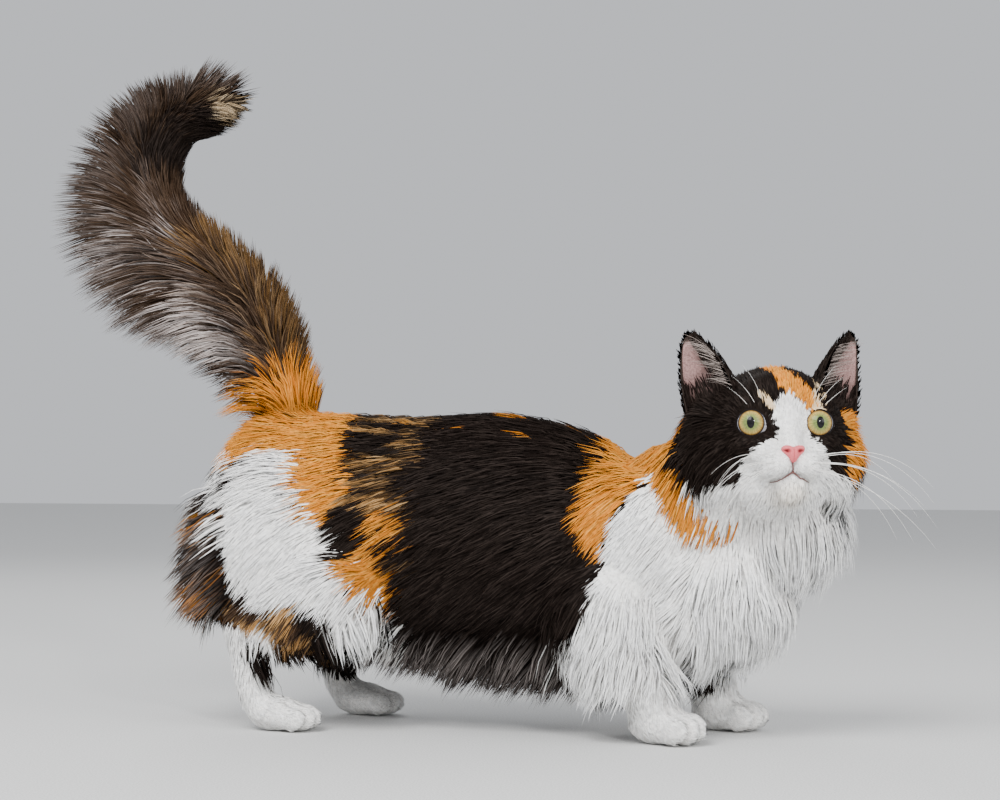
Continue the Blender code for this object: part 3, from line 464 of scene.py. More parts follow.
skin = make_skin()
places, normals, corners = mesh_arrays(skin.data)
places /= MM
inset = bone_shares(places) @ np.array([bone.depth for bone in BONES.values()])
SOLE_HEIGHT = 0.4
SKIN_PLACES = places - normals * inset[:, None]
SKIN_PLACES[:, 2] = np.maximum(SKIN_PLACES[:, 2], SOLE_HEIGHT)

# Sockets that hold the eyes, each with a lid that runs out to the skin round it.
SOCKET_RADIUS = EYE_RADIUS + 0.6
BEHIND_EYE = 1.5
LID_EDGE, LID_RUN = 0.5, 4.0
for side in (RIGHT, LEFT):
    middle = eye_axes(side)[0]
    gap, front = lid_gap(SKIN_PLACES, side)
    off = SKIN_PLACES - middle
    deep = np.linalg.norm(off, axis=1)
    blend = fade(gap, LID_EDGE, LID_RUN) ** 1.5
    meant = np.maximum(SOCKET_RADIUS * (1 - blend) + deep * blend, SOCKET_RADIUS)
    meant[front & (gap < LID_EDGE)] = EYE_RADIUS - BEHIND_EYE
    held = front & (gap < LID_EDGE + LID_RUN) | (deep < SOCKET_RADIUS)
    SKIN_PLACES[held] = middle + off[held] * (meant / deep)[held, None]

# Creases of the mouth, to the left and up from the skull's middle, and the gaps between the toes.
MOUTH_LINE = [(0, -31.0), (2.5, -32.6), (5.5, -34.4), (8.5, -35.6), (11.0, -35.4)]
LIP_SPLIT = (-31, -23)
MOUTH_DEEP, TOE_DEEP = 2.0, 2.3
TOE_GAPS = (-0.24, 0.0, 0.24)


def mouth_crease(local):
    """1 on the line of the mouth, falling to 0 beside it."""
    line = np.array(MOUTH_LINE, float)
    least = np.abs(local[:, 1]) + 50 * ((local[:, 2] < LIP_SPLIT[0]) | (local[:, 2] > LIP_SPLIT[1]))
    for i in range(len(line) - 1):
        span = line[i + 1] - line[i]
        off = np.stack([np.abs(local[:, 1]), local[:, 2]], axis=1) - line[i]
        t = np.clip(off @ span / (span @ span), 0, 1)
        least = np.minimum(least, np.linalg.norm(off - t[:, None] * span, axis=1))
    return np.exp(-(least / 1.7) ** 2) * (local[:, 0] > 15)


def toe_gaps(places):
    """1 in the gaps between the toes, falling to 0 on the toes."""
    total = np.zeros(len(places))
    for paw, ((x, y), heading) in PAWS.items():
        long, wide = PAW_SIZES[paw[:4]][:2]
        a = math.radians(heading)
        off = places[:, :2] - (x, y)
        forth = (off[:, 0] * math.cos(a) + off[:, 1] * math.sin(a)) / long
        across = (off[:, 1] * math.cos(a) - off[:, 0] * math.sin(a)) / wide
        share = fade(forth, 0.05, 0.12) * (forth < 0.75) * (np.abs(across) < 0.6) * (places[:, 2] < 32)
        for gap in TOE_GAPS:
            total += share * np.exp(-((across - gap * (0.9 + 0.4 * forth)) * wide / 1.25) ** 2)
    return np.clip(total, 0, 1)


crease = MOUTH_DEEP * mouth_crease(in_head(SKIN_PLACES)) + TOE_DEEP * toe_gaps(SKIN_PLACES)
SKIN_PLACES -= normals * crease[:, None]
skin.data.vertices.foreach_set("co", in_frame(SKIN_PLACES).astype(np.float32).ravel())
skin.data.update()
SKIN_NORMALS, SKIN_CORNERS = mesh_arrays(skin.data)[1:]
make_smooth(skin.data)

# The markings.
# A tricolour coat: black-brown over the back and the sides of the face, ginger at the nape, hips and tail
# root, white on muzzle, chest, legs and thighs. Skin and hair take their colours from the same patches,
# which grade into each other hair by hair. Painted shade darkens them in the toe gaps and the mouth's
# crease.
BLACK = np.array([0.0105, 0.0072, 0.0058])
BROWN = np.array([0.070, 0.042, 0.026])
GINGER = np.array([0.54, 0.198, 0.022])
GOLD_BROWN = np.array([0.19, 0.105, 0.040])
CREAM = np.array([0.74, 0.56, 0.35])
WHITE = np.array([0.93, 0.91, 0.88])
SMOKE = np.array([0.165, 0.125, 0.105])
SILVER = np.array([0.40, 0.35, 0.33])

# Patches of the near flank and both shoulders, as outlines in the side view: millimetres along X and Z.
COLLAR_EDGE = [(97, 158), (104, 144), (112, 130), (124, 120), (139, 114), (147, 117), (141, 123), (132, 132),
               (126, 142)]
SHOULDER_WHITE = [*COLLAR_EDGE, (122, 149), (134, 148), (158, 156), (176, 163), (215, 180), (230, 100),
                  (210, -5), (20, -5), (36, 20), (50, 30), (65, 54), (73, 78), (76, 108), (86, 132)]
SHOULDER_GINGER = [(66, 215), (62, 181), (61, 160), (60, 142), (54, 131), (64, 122), (70, 112), (77, 100),
                   (82, 120), (88, 146), *COLLAR_EDGE, (121, 152), (119, 170), (122, 215)]
COLLAR = [(88, 158), (102, 138), (122, 112), (150, 107), (154, 122), (134, 142), (122, 154)]
CHEEK_BLACK = [(122, 215), (115, 184), (110, 174), (109, 163), (113, 154), (122, 149), (134, 148),
               (147, 151), (158, 156), (176, 163), (176, 215)]
HIP_GINGER = [(-122, 260), (-106, 199), (-101, 190), (-98, 172), (-93, 152), (-95, 138), (-104, 129),
              (-110, 118), (-122, 130), (-130, 142), (-134, 158), (-139, 168), (-161, 168), (-190, 158),
              (-230, 260)]
THIGH_WHITE = [(-135, 170), (-160, 172), (-171, 161), (-173, 142), (-176, 117), (-167, 101), (-157, 86),
               (-142, 74), (-123, 70), (-110, 76), (-96, 72), (-84, 50), (-66, 40), (-65, 63), (-80, 87),
               (-97, 108), (-104, 118), (-118, 130), (-126, 142)]
HIP_BLACK = [(-103, 124), (-95, 137), (-84, 140), (-74, 128), (-84, 110), (-97, 105)]
FLANK_GINGER = [(-98, 106), (-86, 112), (-70, 117), (-64, 94), (-66, 66), (-74, 74), (-88, 92)]
FLANK_SPOT = [(-78, 127), (-67, 134), (-54, 128), (-59, 117), (-73, 115)]
SHIN_BLACK = [(-152, 46), (-110, 48), (-104, 40), (-108, 22), (-136, 24), (-147, 40)]
LOWER_THIGH = [(-166, 76), (-140, 72), (-112, 74), (-106, 46), (-164, 52)]

# Patches of the face, seen from the front: millimetres to the cat's left and up from between its eyes.
BLAZE = [(-3, 18), (-6, 13), (-9.5, 10), (-8, 2), (-6.5, -5), (-8, -11), (-17, -13), (-23, -18),
         (-27, -28), (-27, -35), (-29, -42), (-38, -48), (-48, -52), (-60, -80), (70, -80), (46, -42),
         (40, -36), (30, -31), (28, -27), (25, -20), (20, -14.5), (12.5, -9), (12.5, 1), (14, 6), (9, 12),
         (3, 16)]
CROWN_GINGER = [(-9, 42), (-6, 29), (-4, 20), (0, 17), (6, 14), (11, 8), (15, 5), (20, 11), (13, 21),
                (5, 29), (5, 42)]
CHEEK_GINGER = [(42, -20), (45, -12), (43, -5), (38, 3), (42, 8), (60, 0), (60, -46), (46, -44), (40, -35)]


def dots(rows, others):
    """Row by row the dot product of two arrays of directions."""
    return np.einsum("ij,ij->i", rows, others)


def wobble(places, size, seed, waves=9):
    """A smooth random field between about -1 and 1, with features of a given size in millimetres."""
    draw = np.random.default_rng(seed)
    turns = draw.normal(size=(waves, 3)) * (2.4 / np.asarray(size, float))
    return np.sin(places @ turns.T + draw.uniform(0, 2 * math.pi, waves)).mean(axis=1) * 2.1


def inside_share(across, up, outline, soft):
    """1 well inside an outline, 0 well outside, with a soft border of the given half width."""
    least = np.full(len(across), FAR_AWAY)
    inside = np.zeros(len(across), bool)
    for (x1, z1), (x2, z2) in zip(outline, outline[1:] + outline[:1]):
        length = (x2 - x1) ** 2 + (z2 - z1) ** 2
        t = np.clip(((across - x1) * (x2 - x1) + (up - z1) * (z2 - z1)) / length, 0, 1)
        least = np.minimum(least, np.hypot(across - x1 - t * (x2 - x1), up - z1 - t * (z2 - z1)))
        if z1 != z2:
            cross = ((z1 > up) != (z2 > up)) & (across < x1 + (x2 - x1) * (up - z1) / (z2 - z1))
            inside ^= cross
    return np.clip(0.5 + np.where(inside, least, -least) / (2 * np.asarray(soft)), 0, 1)


def brush(colour, luck):
    """A brush over the given colours: a hair takes the paint where the share is more than its luck."""

    def paint(share, paint_colour, blur=0.04):
        mixed = np.clip((share - luck) / (2 * blur) + 0.5, 0, 1) * np.clip(share * 20, 0, 1)
        colour[:] += (paint_colour - colour) * mixed[:, None]

    return paint


def paint_body(paint, places, share):
    """Trunk, shoulders, hips, thighs and legs, near side and far."""
    x, y, z = places.T
    near = y < 12
    side_x = np.where(near, x, x + 9 + 10 * wobble(places, 40, 3))
    side_z = np.where(near, z, z + 12 * wobble(places, 46, 4))
    rough = 3.0 * wobble(places, 9, 5)

    def side_patch(outline, paint_colour, soft=5.0):
        paint(inside_share(side_x + rough, side_z - 0.6 * rough, outline, soft), paint_colour)

    streak = wobble(places * np.array([0.22, 1, 1]), 9, 6)
    brindle = fade(side_x, -42, -26) * fade(side_z, 92, 16) * (side_x > -130)
    paint(brindle * np.clip(0.50 + 0.75 * streak, 0, 0.92), GOLD_BROWN * 0.55, 0.25)
    paint(brindle * np.clip(0.22 + 0.8 * streak, 0, 0.85), GOLD_BROWN * 1.5, 0.2)
    spots = wobble(places * np.array([0.7, 1, 1]), 14, 8) * fade(side_z, 176, 10)
    paint(np.clip(spots - 0.3, 0, 0.8), GINGER * 0.8)
    side_patch(FLANK_SPOT, GINGER * 0.8, 8)
    side_patch(HIP_GINGER, GINGER, 6)
    side_patch(FLANK_GINGER, GINGER * 0.9, 6)
    breech = fade(x, -168, -10) * fade(z, 150, -12)
    mottle = wobble(places, 10, 9)
    paint(breech * np.clip(0.40 + 0.5 * mottle, 0, 0.85), BROWN * 1.7, 0.2)
    paint(breech * np.clip(0.8 * mottle, 0, 0.7), GINGER * 0.6, 0.15)
    side_patch(THIGH_WHITE, WHITE, 6)
    rear = fade(x, -172, -6) * fade(z, 128, 10) * fade(z, 178, -8)
    paint(rear * 0.5, WHITE)
    side_patch(HIP_BLACK, BLACK, 5)
    side_patch(LOWER_THIGH, BROWN * 0.7, 5)
    lower_thigh = inside_share(side_x + rough, side_z, LOWER_THIGH, 5)
    paint(lower_thigh * np.clip(0.60 + mottle, 0, 1), GOLD_BROWN * 1.9, 0.2)
    side_patch(COLLAR, GINGER, 2)
    side_patch(SHOULDER_GINGER, GINGER, 4)
    side_patch(SHOULDER_WHITE, WHITE, 4)
    white_legs = ("forepaw", "hindpaw", "hock", "foreleg")
    legs = sum(share[name] for name in BONE_NAMES if name.startswith(white_legs))
    paint(legs * (z < 62), WHITE)
    side_patch(SHIN_BLACK, BLACK, 4)
    between_legs = np.linalg.norm((places - (112, 2, 30)) / (34, 22, 24), axis=1)
    paint(np.clip(2.2 - 2 * between_legs, 0, 1) * (z > 22), BLACK)


def paint_tail(paint, places, tail):
    """Ginger root, silvery underside, black inner curve and cream tip."""
    step, distance = nearest_tail(places)
    rearward = dots(places - TAIL_PLACE[step], TAIL_BACK[step]) / np.maximum(distance, 1)
    far = step / (TAIL_STEPS - 1)
    hair = wobble(places * np.array([1, 1, 0.5]), 9, 12)
    shade = np.clip(0.35 + 0.3 * rearward + 0.35 * hair, 0, 0.9) * np.clip(1.5 - 0.8 * far, 0, 1)
    paint(tail, BROWN * 0.5)
    paint(tail * shade, SMOKE * 0.50, 0.3)
    paint(tail * np.clip(0.45 * rearward + 0.40 * hair - 0.05, 0, 0.7) * (far < 0.62), SILVER * 0.7, 0.25)
    pale = fade(rearward, 0.1, 0.6) * fade(far, 0.13, 0.06) * fade(far, 0.44, -0.12)
    paint(tail * pale * np.clip(0.55 + 0.6 * hair, 0, 0.9), SILVER * 1.25, 0.25)
    golden = np.clip(0.40 * hair - 0.55 * rearward + 0.12, 0, 0.5) * (far < 0.45)
    paint(tail * golden, GOLD_BROWN * 0.62, 0.25)
    paint(tail * fade(far, 0.58, 0.1) * np.clip(0.45 - 0.9 * rearward, 0, 1), BLACK, 0.2)
    paint(tail * np.clip((0.165 + 0.02 * hair - far) / 0.05, 0, 1), GINGER * 0.85, 0.15)
    paint(tail * fade(far, 0.985, 0.01) * np.clip(0.30 - 0.7 * rearward, 0, 0.6), CREAM * 0.6, 0.2)


def paint_head(paint, colour, places, share):
    """Black sides, ginger nape, crown and far cheek, and a white blaze down to muzzle and throat."""
    x, y, z = places.T
    forth, left, up = in_head(places).T
    up = up + 0.14 * (forth - 33)
    rough = 1.1 * wobble(places, 4.5, 14)
    head = share["head"] > 0.5
    face = head & (forth > -26)

    def face_patch(outline, paint_colour, soft=1.4):
        paint(inside_share(left + rough, up + rough, outline, soft) * face, paint_colour)

    paint(head * 1.0 * ((forth > -40) | (up > 10)), BLACK)
    nape = head & (forth < -24) & (left < 6)
    paint(nape * fade(up, 22, -10) * 0.85, GINGER)
    cheek = inside_share(x + 2 * rough, z - rough, CHEEK_BLACK, 3) * (y < -10) * (share["bib"] < 0.5)
    paint(cheek, BLACK)
    throat = head & (up < -46 + rough + 14 * fade(forth, -14, -10) * (left > 0))
    paint(throat * 1.0, WHITE)
    face_patch(CROWN_GINGER, GINGER * 1.1)
    face_patch(CHEEK_GINGER, GINGER)
    face_patch(BLAZE, WHITE)
    chin = np.clip(1.5 - np.hypot(left / 11, (up + 44) / 8), 0, 1) * face
    colour += (CREAM - colour) * (0.30 * chin)[:, None]
    brow = np.linalg.norm(np.stack([left + 12 + 0.7 * (up - 12), (up - 12) * 0.45]), axis=0)
    paint(face * np.clip(1.5 - brow / 2.2, 0, 0.6), CREAM)
    streaks = np.linalg.norm(np.stack([left - 19, (up - 12) * 0.5]), axis=0)
    paint(face * np.clip(1.6 - streaks / 4.5, 0, 0.55) * (wobble(places, 3, 15) > -0.2), CREAM)


def markings(places, luck, shares):
    """The coat's colour at each place. luck, from 0 to 1, settles hair by hair where two colours mingle."""
    colour = np.tile(BLACK, (len(places), 1))
    paint = brush(colour, luck)
    share = dict(zip(BONE_NAMES, shares.T))
    paint_body(paint, places, share)
    paint_tail(paint, places, share["tail"])
    paint_head(paint, colour, places, share)
    # Painted shade: the colour is darkened in the gaps between the toes and in the crease of the mouth.
    return colour * (1 - 0.55 * toe_gaps(places) - 0.35 * mouth_crease(in_head(places)))[:, None]


def paint_points(mesh, colours):
    """Stores a colour at each point of a mesh, for its material to read."""
    layer = mesh.attributes.new("marking", "FLOAT_COLOR", "POINT")
    layer.data.foreach_set("color", np.c_[colours, np.ones(len(colours))].astype(np.float32).ravel())


def set_inputs(node, values):
    """Sets inputs of a shader node by name, and gives the node back."""
    for name, value in values.items():
        node.inputs[name].default_value = value
    return node


def hair_tones():
    """Node group: breaks an even marking up into the darker and lighter streaks of single hairs."""
    group = bpy.data.node_groups.new("hair_tones", "ShaderNodeTree")
    group.interface.new_socket("Marking", in_out="INPUT", socket_type="NodeSocketColor")
    for name, value in (("Streak", 900.0), ("Amount", 0.3)):
        socket = group.interface.new_socket(name, in_out="INPUT", socket_type="NodeSocketFloat")
        socket.default_value = value
    group.interface.new_socket("Color", in_out="OUTPUT", socket_type="NodeSocketColor")
    group.interface.new_socket("Height", in_out="OUTPUT", socket_type="NodeSocketFloat")
    nodes, link = group.nodes, group.links.new
    start, end = nodes.new("NodeGroupInput"), nodes.new("NodeGroupOutput")
    place = nodes.new("ShaderNodeTexCoord")
    noise = set_inputs(nodes.new("ShaderNodeTexNoise"), {"Detail": 3})
    link(place.outputs["Object"], noise.inputs["Vector"])
    link(start.outputs["Streak"], noise.inputs["Scale"])
    spread = set_inputs(nodes.new("ShaderNodeMapRange"), {"From Min": 0.3, "From Max": 0.7, "To Min": -1.0})
    link(noise.outputs["Fac"], spread.inputs["Value"])
    swing = set_inputs(nodes.new("ShaderNodeMath"), {2: 1.0})
    swing.operation = "MULTIPLY_ADD"
    link(spread.outputs["Result"], swing.inputs[0])
    link(start.outputs["Amount"], swing.inputs[1])
    toned = nodes.new("ShaderNodeVectorMath")
    toned.operation = "SCALE"
    link(start.outputs["Marking"], toned.inputs[0])
    link(swing.outputs["Value"], toned.inputs["Scale"])
    link(toned.outputs["Vector"], end.inputs["Color"])
    link(noise.outputs["Fac"], end.inputs["Height"])
    return group


HAIR_TONES = hair_tones()


def new_material(name):
    """A material, with its nodes, a way to link them, and its shader."""
    material = bpy.data.materials.new(name)
    material.use_nodes = True
    nodes = material.node_tree.nodes
    return material, nodes, material.node_tree.links.new, nodes["Principled BSDF"]


def marked_material(name, streak, amount, roughness, shine, bump=0.0):
    """A coat or skin material that takes the markings from the mesh and breaks them up."""
    material, nodes, link, shader = new_material(name)
    marking = nodes.new("ShaderNodeAttribute")
    marking.attribute_name = "marking"
    tones = nodes.new("ShaderNodeGroup")
    tones.node_tree = HAIR_TONES
    set_inputs(tones, {"Streak": streak, "Amount": amount})
    link(marking.outputs["Color"], tones.inputs["Marking"])
    link(tones.outputs["Color"], shader.inputs["Base Color"])
    set_inputs(shader, {"Roughness": roughness, "Specular IOR Level": shine, "IOR": 1.25})
    if bump:
        relief = set_inputs(nodes.new("ShaderNodeBump"), {"Strength": bump, "Distance": 0.6 * MM})
        link(tones.outputs["Height"], relief.inputs["Height"])
        link(relief.outputs["Normal"], shader.inputs["Normal"])
    return material


skin_shares = bone_shares(SKIN_PLACES, 3)
paint_points(skin.data, markings(SKIN_PLACES, np.full(len(SKIN_PLACES), 0.5), skin_shares) * 0.9)
skin.data.materials.append(marked_material("skin_fur", 1400, 0.35, 0.8, 0.05, 0.5))
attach(skin, "root")
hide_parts("head", "neck", "chest", "torso", "rump", "tail_root", "tail_middle", "tail_tip",
            "foreleg_right", "foreleg_left", "hindleg_right", "hindleg_left", "hock_right", "hock_left",
            "forepaw_right", "forepaw_left", "hindpaw_right", "hindpaw_left")

# The coat.
# Guard hair in flat tapered tufts, rooted in the skin and laid along it, drawn together into locks where it
# is long. Each tuft is one closed solid that takes its colour from the markings under its middle.
BONE_LIFTS = np.array([bone.lift for bone in BONES.values()], float)
BONE_LENGTHS = np.array([bone.length for bone in BONES.values()], float)
BONE_WIDTHS = np.array([bone.width for bone in BONES.values()], float)
BONE_DROOPS = np.array([bone.droop for bone in BONES.values()], float)

corners_at = SKIN_PLACES[SKIN_CORNERS]
edge_ways = corners_at[:, 1] - corners_at[:, 0], corners_at[:, 2] - corners_at[:, 0]
TRIANGLE_AREA = np.linalg.norm(np.cross(*edge_ways), axis=1)
TRIANGLE_MIDDLE = corners_at.mean(axis=1)
TRIANGLE_BONE = bone_distances(TRIANGLE_MIDDLE).argmin(axis=1)


def unit(rows):
    """Each row brought to length 1."""
    return rows / np.maximum(np.linalg.norm(rows, axis=1, keepdims=True), 1e-9)


def laid_flat(ways, normals):
    """The part of each way that lies along a surface with the given normals."""
    return ways - dots(ways, normals)[:, None] * normals


def roots_on(bones, count, draw, where=None, weight=None):
    """Random roots on the skin over the named bones: their places and the skin's directions."""
    chosen = np.isin(TRIANGLE_BONE, [BONE_NAMES.index(name) for name in bones])
    if where is not None:
        chosen &= where(TRIANGLE_MIDDLE)
    chance = TRIANGLE_AREA * chosen
    if weight is not None:
        chance = chance * weight(TRIANGLE_MIDDLE)
    picks = draw.choice(len(chance), count, p=chance / chance.sum())
    a, b = draw.random(count), draw.random(count)
    flip = a + b > 1
    a[flip], b[flip] = 1 - a[flip], 1 - b[flip]
    weights = np.stack([1 - a - b, a, b], axis=1)[:, :, None]
    held = SKIN_CORNERS[picks]
    return (SKIN_PLACES[held] * weights).sum(axis=1), unit((SKIN_NORMALS[held] * weights).sum(axis=1))


NOSE_PLACE = (43.5, 0, -19.5)


def lie_on_head(places):
    """Hair of the head fans out from the nose and round the eyes, and hangs a little on the cheeks."""
    local = in_head(places)
    way = unit(local - np.array(NOSE_PLACE))
    way[:, 2] -= 0.65 * (fade(np.abs(local[:, 1]), 16, 16) * fade(local[:, 2], 8, -20))
    for eye in EYES.values():
        off = local - eye
        gap = np.linalg.norm(off, axis=1) - EYE_RADIUS
        way += unit(off) * (1.6 * np.exp(-np.maximum(gap, 0) / 3.5))[:, None]
    return unit(way @ HEAD_BASIS.T)


def lie_of(places, normals, shares):
    """The way the hair points at each place, laid along the skin."""
    ways = np.zeros_like(places)
    for i, (name, bone) in enumerate(BONES.items()):
        if name == "head":
            way = lie_on_head(places)
        elif name == "trunk":
            fall = 0.08 + 0.42 * (1 - normals[:, 2])
            way = unit(np.stack([-np.ones(len(places)), np.zeros(len(places)), -fall], axis=1))
        elif name == "tail":
            way = TAIL_ALONG[nearest_tail(places)[0]]
        else:
            way = unit(np.tile(np.array(bone.lie, float), (len(places), 1)))
        ways += shares[:, i:i + 1] * way
    root_gap = np.linalg.norm(places - TAIL_PLACE[TAIL_FIRST], axis=1)
    up_tail = 1.8 * np.exp(-np.maximum(root_gap - 26, 0) / 9) * (places[:, 2] > 168)
    return unit(laid_flat(ways + TAIL_ALONG[TAIL_FIRST] * up_tail[:, None], normals))


def head_length(places):
    """How long the hair of the head is: shortest on the nose and round the eyes, longest on the cheeks."""
    local = in_head(places)
    forth, left, up = local.T
    from_nose = np.linalg.norm(local - np.array(NOSE_PLACE), axis=1)
    length = 2.4 + 5.5 * fade(from_nose, 8, 45)
    cheek = fade(np.abs(left), 24, 14) * fade(up, 12, -24)
    length += 14 * cheek * fade(forth, 22, -20) + 9 * fade(up, -34, -14) * (forth < 30)
    length += 6 * fade(forth, -18, -16)
    for eye in EYES.values():
        gap = np.linalg.norm(local - eye, axis=1) - EYE_RADIUS
        length *= 1 - 0.55 * np.exp(-np.maximum(gap, 0) / 3.0)
    return length


def coat_length(places, shares):
    """How long the hair is: by the bones, and shorter down the forelegs."""
    lengths = np.tile(BONE_LENGTHS, (len(places), 1))
    lengths[:, BONE_NAMES.index("head")] = head_length(places)
    for word, side in SIDES:
        lengths[:, BONE_NAMES.index("foreleg_" + word)] -= 5 * fade(places[:, 2], 58, -30)
    return (lengths * shares).sum(axis=1)


TUFT_PROFILES = {2: (0.85, 1.0), 3: (0.75, 1.0, 0.72), 4: (0.7, 1.0, 0.86, 0.5)}
TUFT_RISE = 0.9
BAKE_PATCH = 0.003


def tuft_faces(rings):
    """Triangles of one tuft: its foot, the sides from ring to ring, and the tip."""
    faces = [(0, 1, 2)]
    for k in range(rings - 1):
        for j in range(3):
            a, b = 3 * k + j, 3 * k + (j + 1) % 3
            faces += [(a, a + 3, b), (b, a + 3, b + 3)]
    last = 3 * (rings - 1)
    return np.array(faces + [(last + j, 3 * rings, last + (j + 1) % 3) for j in range(3)])


def build_tufts(name, paths, ups, widths, colours, patches, softness=0.88):
    """One mesh of closed tapered tufts. paths and colours run from root to tip; places in millimetres.

    softness says how far a tuft is shaded like the coat under it rather than by its own sides.
    """
    count, rings = len(paths), paths.shape[1] - 1
    profile = np.array(TUFT_PROFILES[rings])
    heading = np.diff(paths, axis=1)
    heading = heading / np.maximum(np.linalg.norm(heading, axis=2, keepdims=True), 1e-9)
    across = np.cross(heading, ups[:, None, :])
    across = across / np.maximum(np.linalg.norm(across, axis=2, keepdims=True), 1e-6)
    rise = np.cross(across, heading)
    half = widths[:, None, None] * profile[None, :, None] / 2
    centre = paths[:, :-1]
    top = centre + rise * half * TUFT_RISE
    ring = np.stack([centre - across * half, centre + across * half, top], axis=2)
    points = np.concatenate([ring.reshape(count, rings * 3, 3), paths[:, -1:]], axis=1)
    size = 3 * rings + 1
    indices = (tuft_faces(rings)[None] + (np.arange(count) * size)[:, None, None]).reshape(-1)
    mesh = bpy.data.meshes.new(name)
    mesh.vertices.add(count * size)
    mesh.vertices.foreach_set("co", in_frame(points.reshape(-1, 3)).astype(np.float32).ravel())
    mesh.loops.add(len(indices))
    mesh.loops.foreach_set("vertex_index", indices.astype(np.int32))
    mesh.polygons.add(len(indices) // 3)
    mesh.polygons.foreach_set("loop_start", np.arange(0, len(indices), 3, dtype=np.int32))
    mesh.update(calc_edges=True)
    make_smooth(mesh)
    shades = np.concatenate([np.repeat(colours[:, :rings], 3, axis=1), colours[:, rings:]], axis=1)
    paint_points(mesh, shades.reshape(-1, 3))

    # each tuft has a small patch of its own in the OFBake layout
    over = np.append(np.tile([-0.5, 0.5, 0.0], rings), 0.0)
    up = np.append(np.repeat(np.linspace(-0.5, 0.35, rings), 3), 0.5)
    flat = patches[:, None, :] + np.stack([over, up], axis=1)[None] * BAKE_PATCH
    layer = mesh.uv_layers.new(name="OFBake")
    layer.data.foreach_set("uv", flat.reshape(-1, 2)[indices].astype(np.float32).ravel())

    own = np.stack([-across, across, rise], axis=2).reshape(count, rings * 3, 3)
    own = np.concatenate([own, rise[:, -1:]], axis=1)
    facing = unit((softness * ups[:, None, :] + (1 - softness) * own).reshape(-1, 3))
    mesh.normals_split_custom_set_from_vertices(facing.astype(np.float32))
    return put_in_scene(name, mesh)


def drawn_together(paths, pull, every, draw):
    """Draws the tips of neighbouring tufts to one of them, so that they hang in locks."""
    leaders = draw.permutation(len(paths))[:max(len(paths) // every, 1)]
    tree = kdtree.KDTree(len(leaders))
    for i, leader in enumerate(leaders):
        tree.insert(paths[leader, 0], i)
    tree.balance()
    nearest = leaders[[tree.find(place)[1] for place in paths[:, 0]]]
    share = np.linspace(0, 1, paths.shape[1]) ** 1.4
    strength = pull * draw.uniform(0.4, 1.15, len(paths))
    return paths + (paths[nearest] - paths) * np.clip(share[None] * strength[:, None], 0, 0.9)[:, :, None]


def curved(roots, start, end, lengths, rings, sink=0.7):
    """Courses that leave their roots along start and bend round to end."""
    steps = np.linspace(0, 1, rings)
    headings = start[:, None] * (1 - steps)[None, :, None] + end[:, None] * steps[None, :, None]
    headings = headings / np.linalg.norm(headings, axis=2, keepdims=True)
    moves = headings * (lengths[:, None, None] / rings)
    first = roots - start * sink
    return np.concatenate([first[:, None], first[:, None] + np.cumsum(moves, axis=1)], axis=1)


def tinted(colours, draw, spread=0.21):
    """Each tuft's colour a little lighter or darker, and the darker the richer."""
    return np.clip(colours, 0, 1) ** draw.uniform(1 - spread * 0.8, 1 + spread, len(colours))[:, None]


GUARD_SHARE, GUARD_LENGTH, GUARD_WIDTH = 0.10, 1.22, 0.7
LEAST_HEIGHT = 0.5
COAT = marked_material("coat_hair", 420, 0.2, 0.6, 0.1)


def hair_colours(middle, roots, shares, draw, seed, patch, swing, drift):
    """Each tuft's colour, from the markings under its middle; luck runs in patches and from hair to hair."""
    luck = 0.5 + swing * wobble(roots, patch, seed + 50) + drift * draw.uniform(-1, 1, len(roots))
    return tinted(markings(middle, np.clip(luck, 0.06, 0.94), shares), draw)


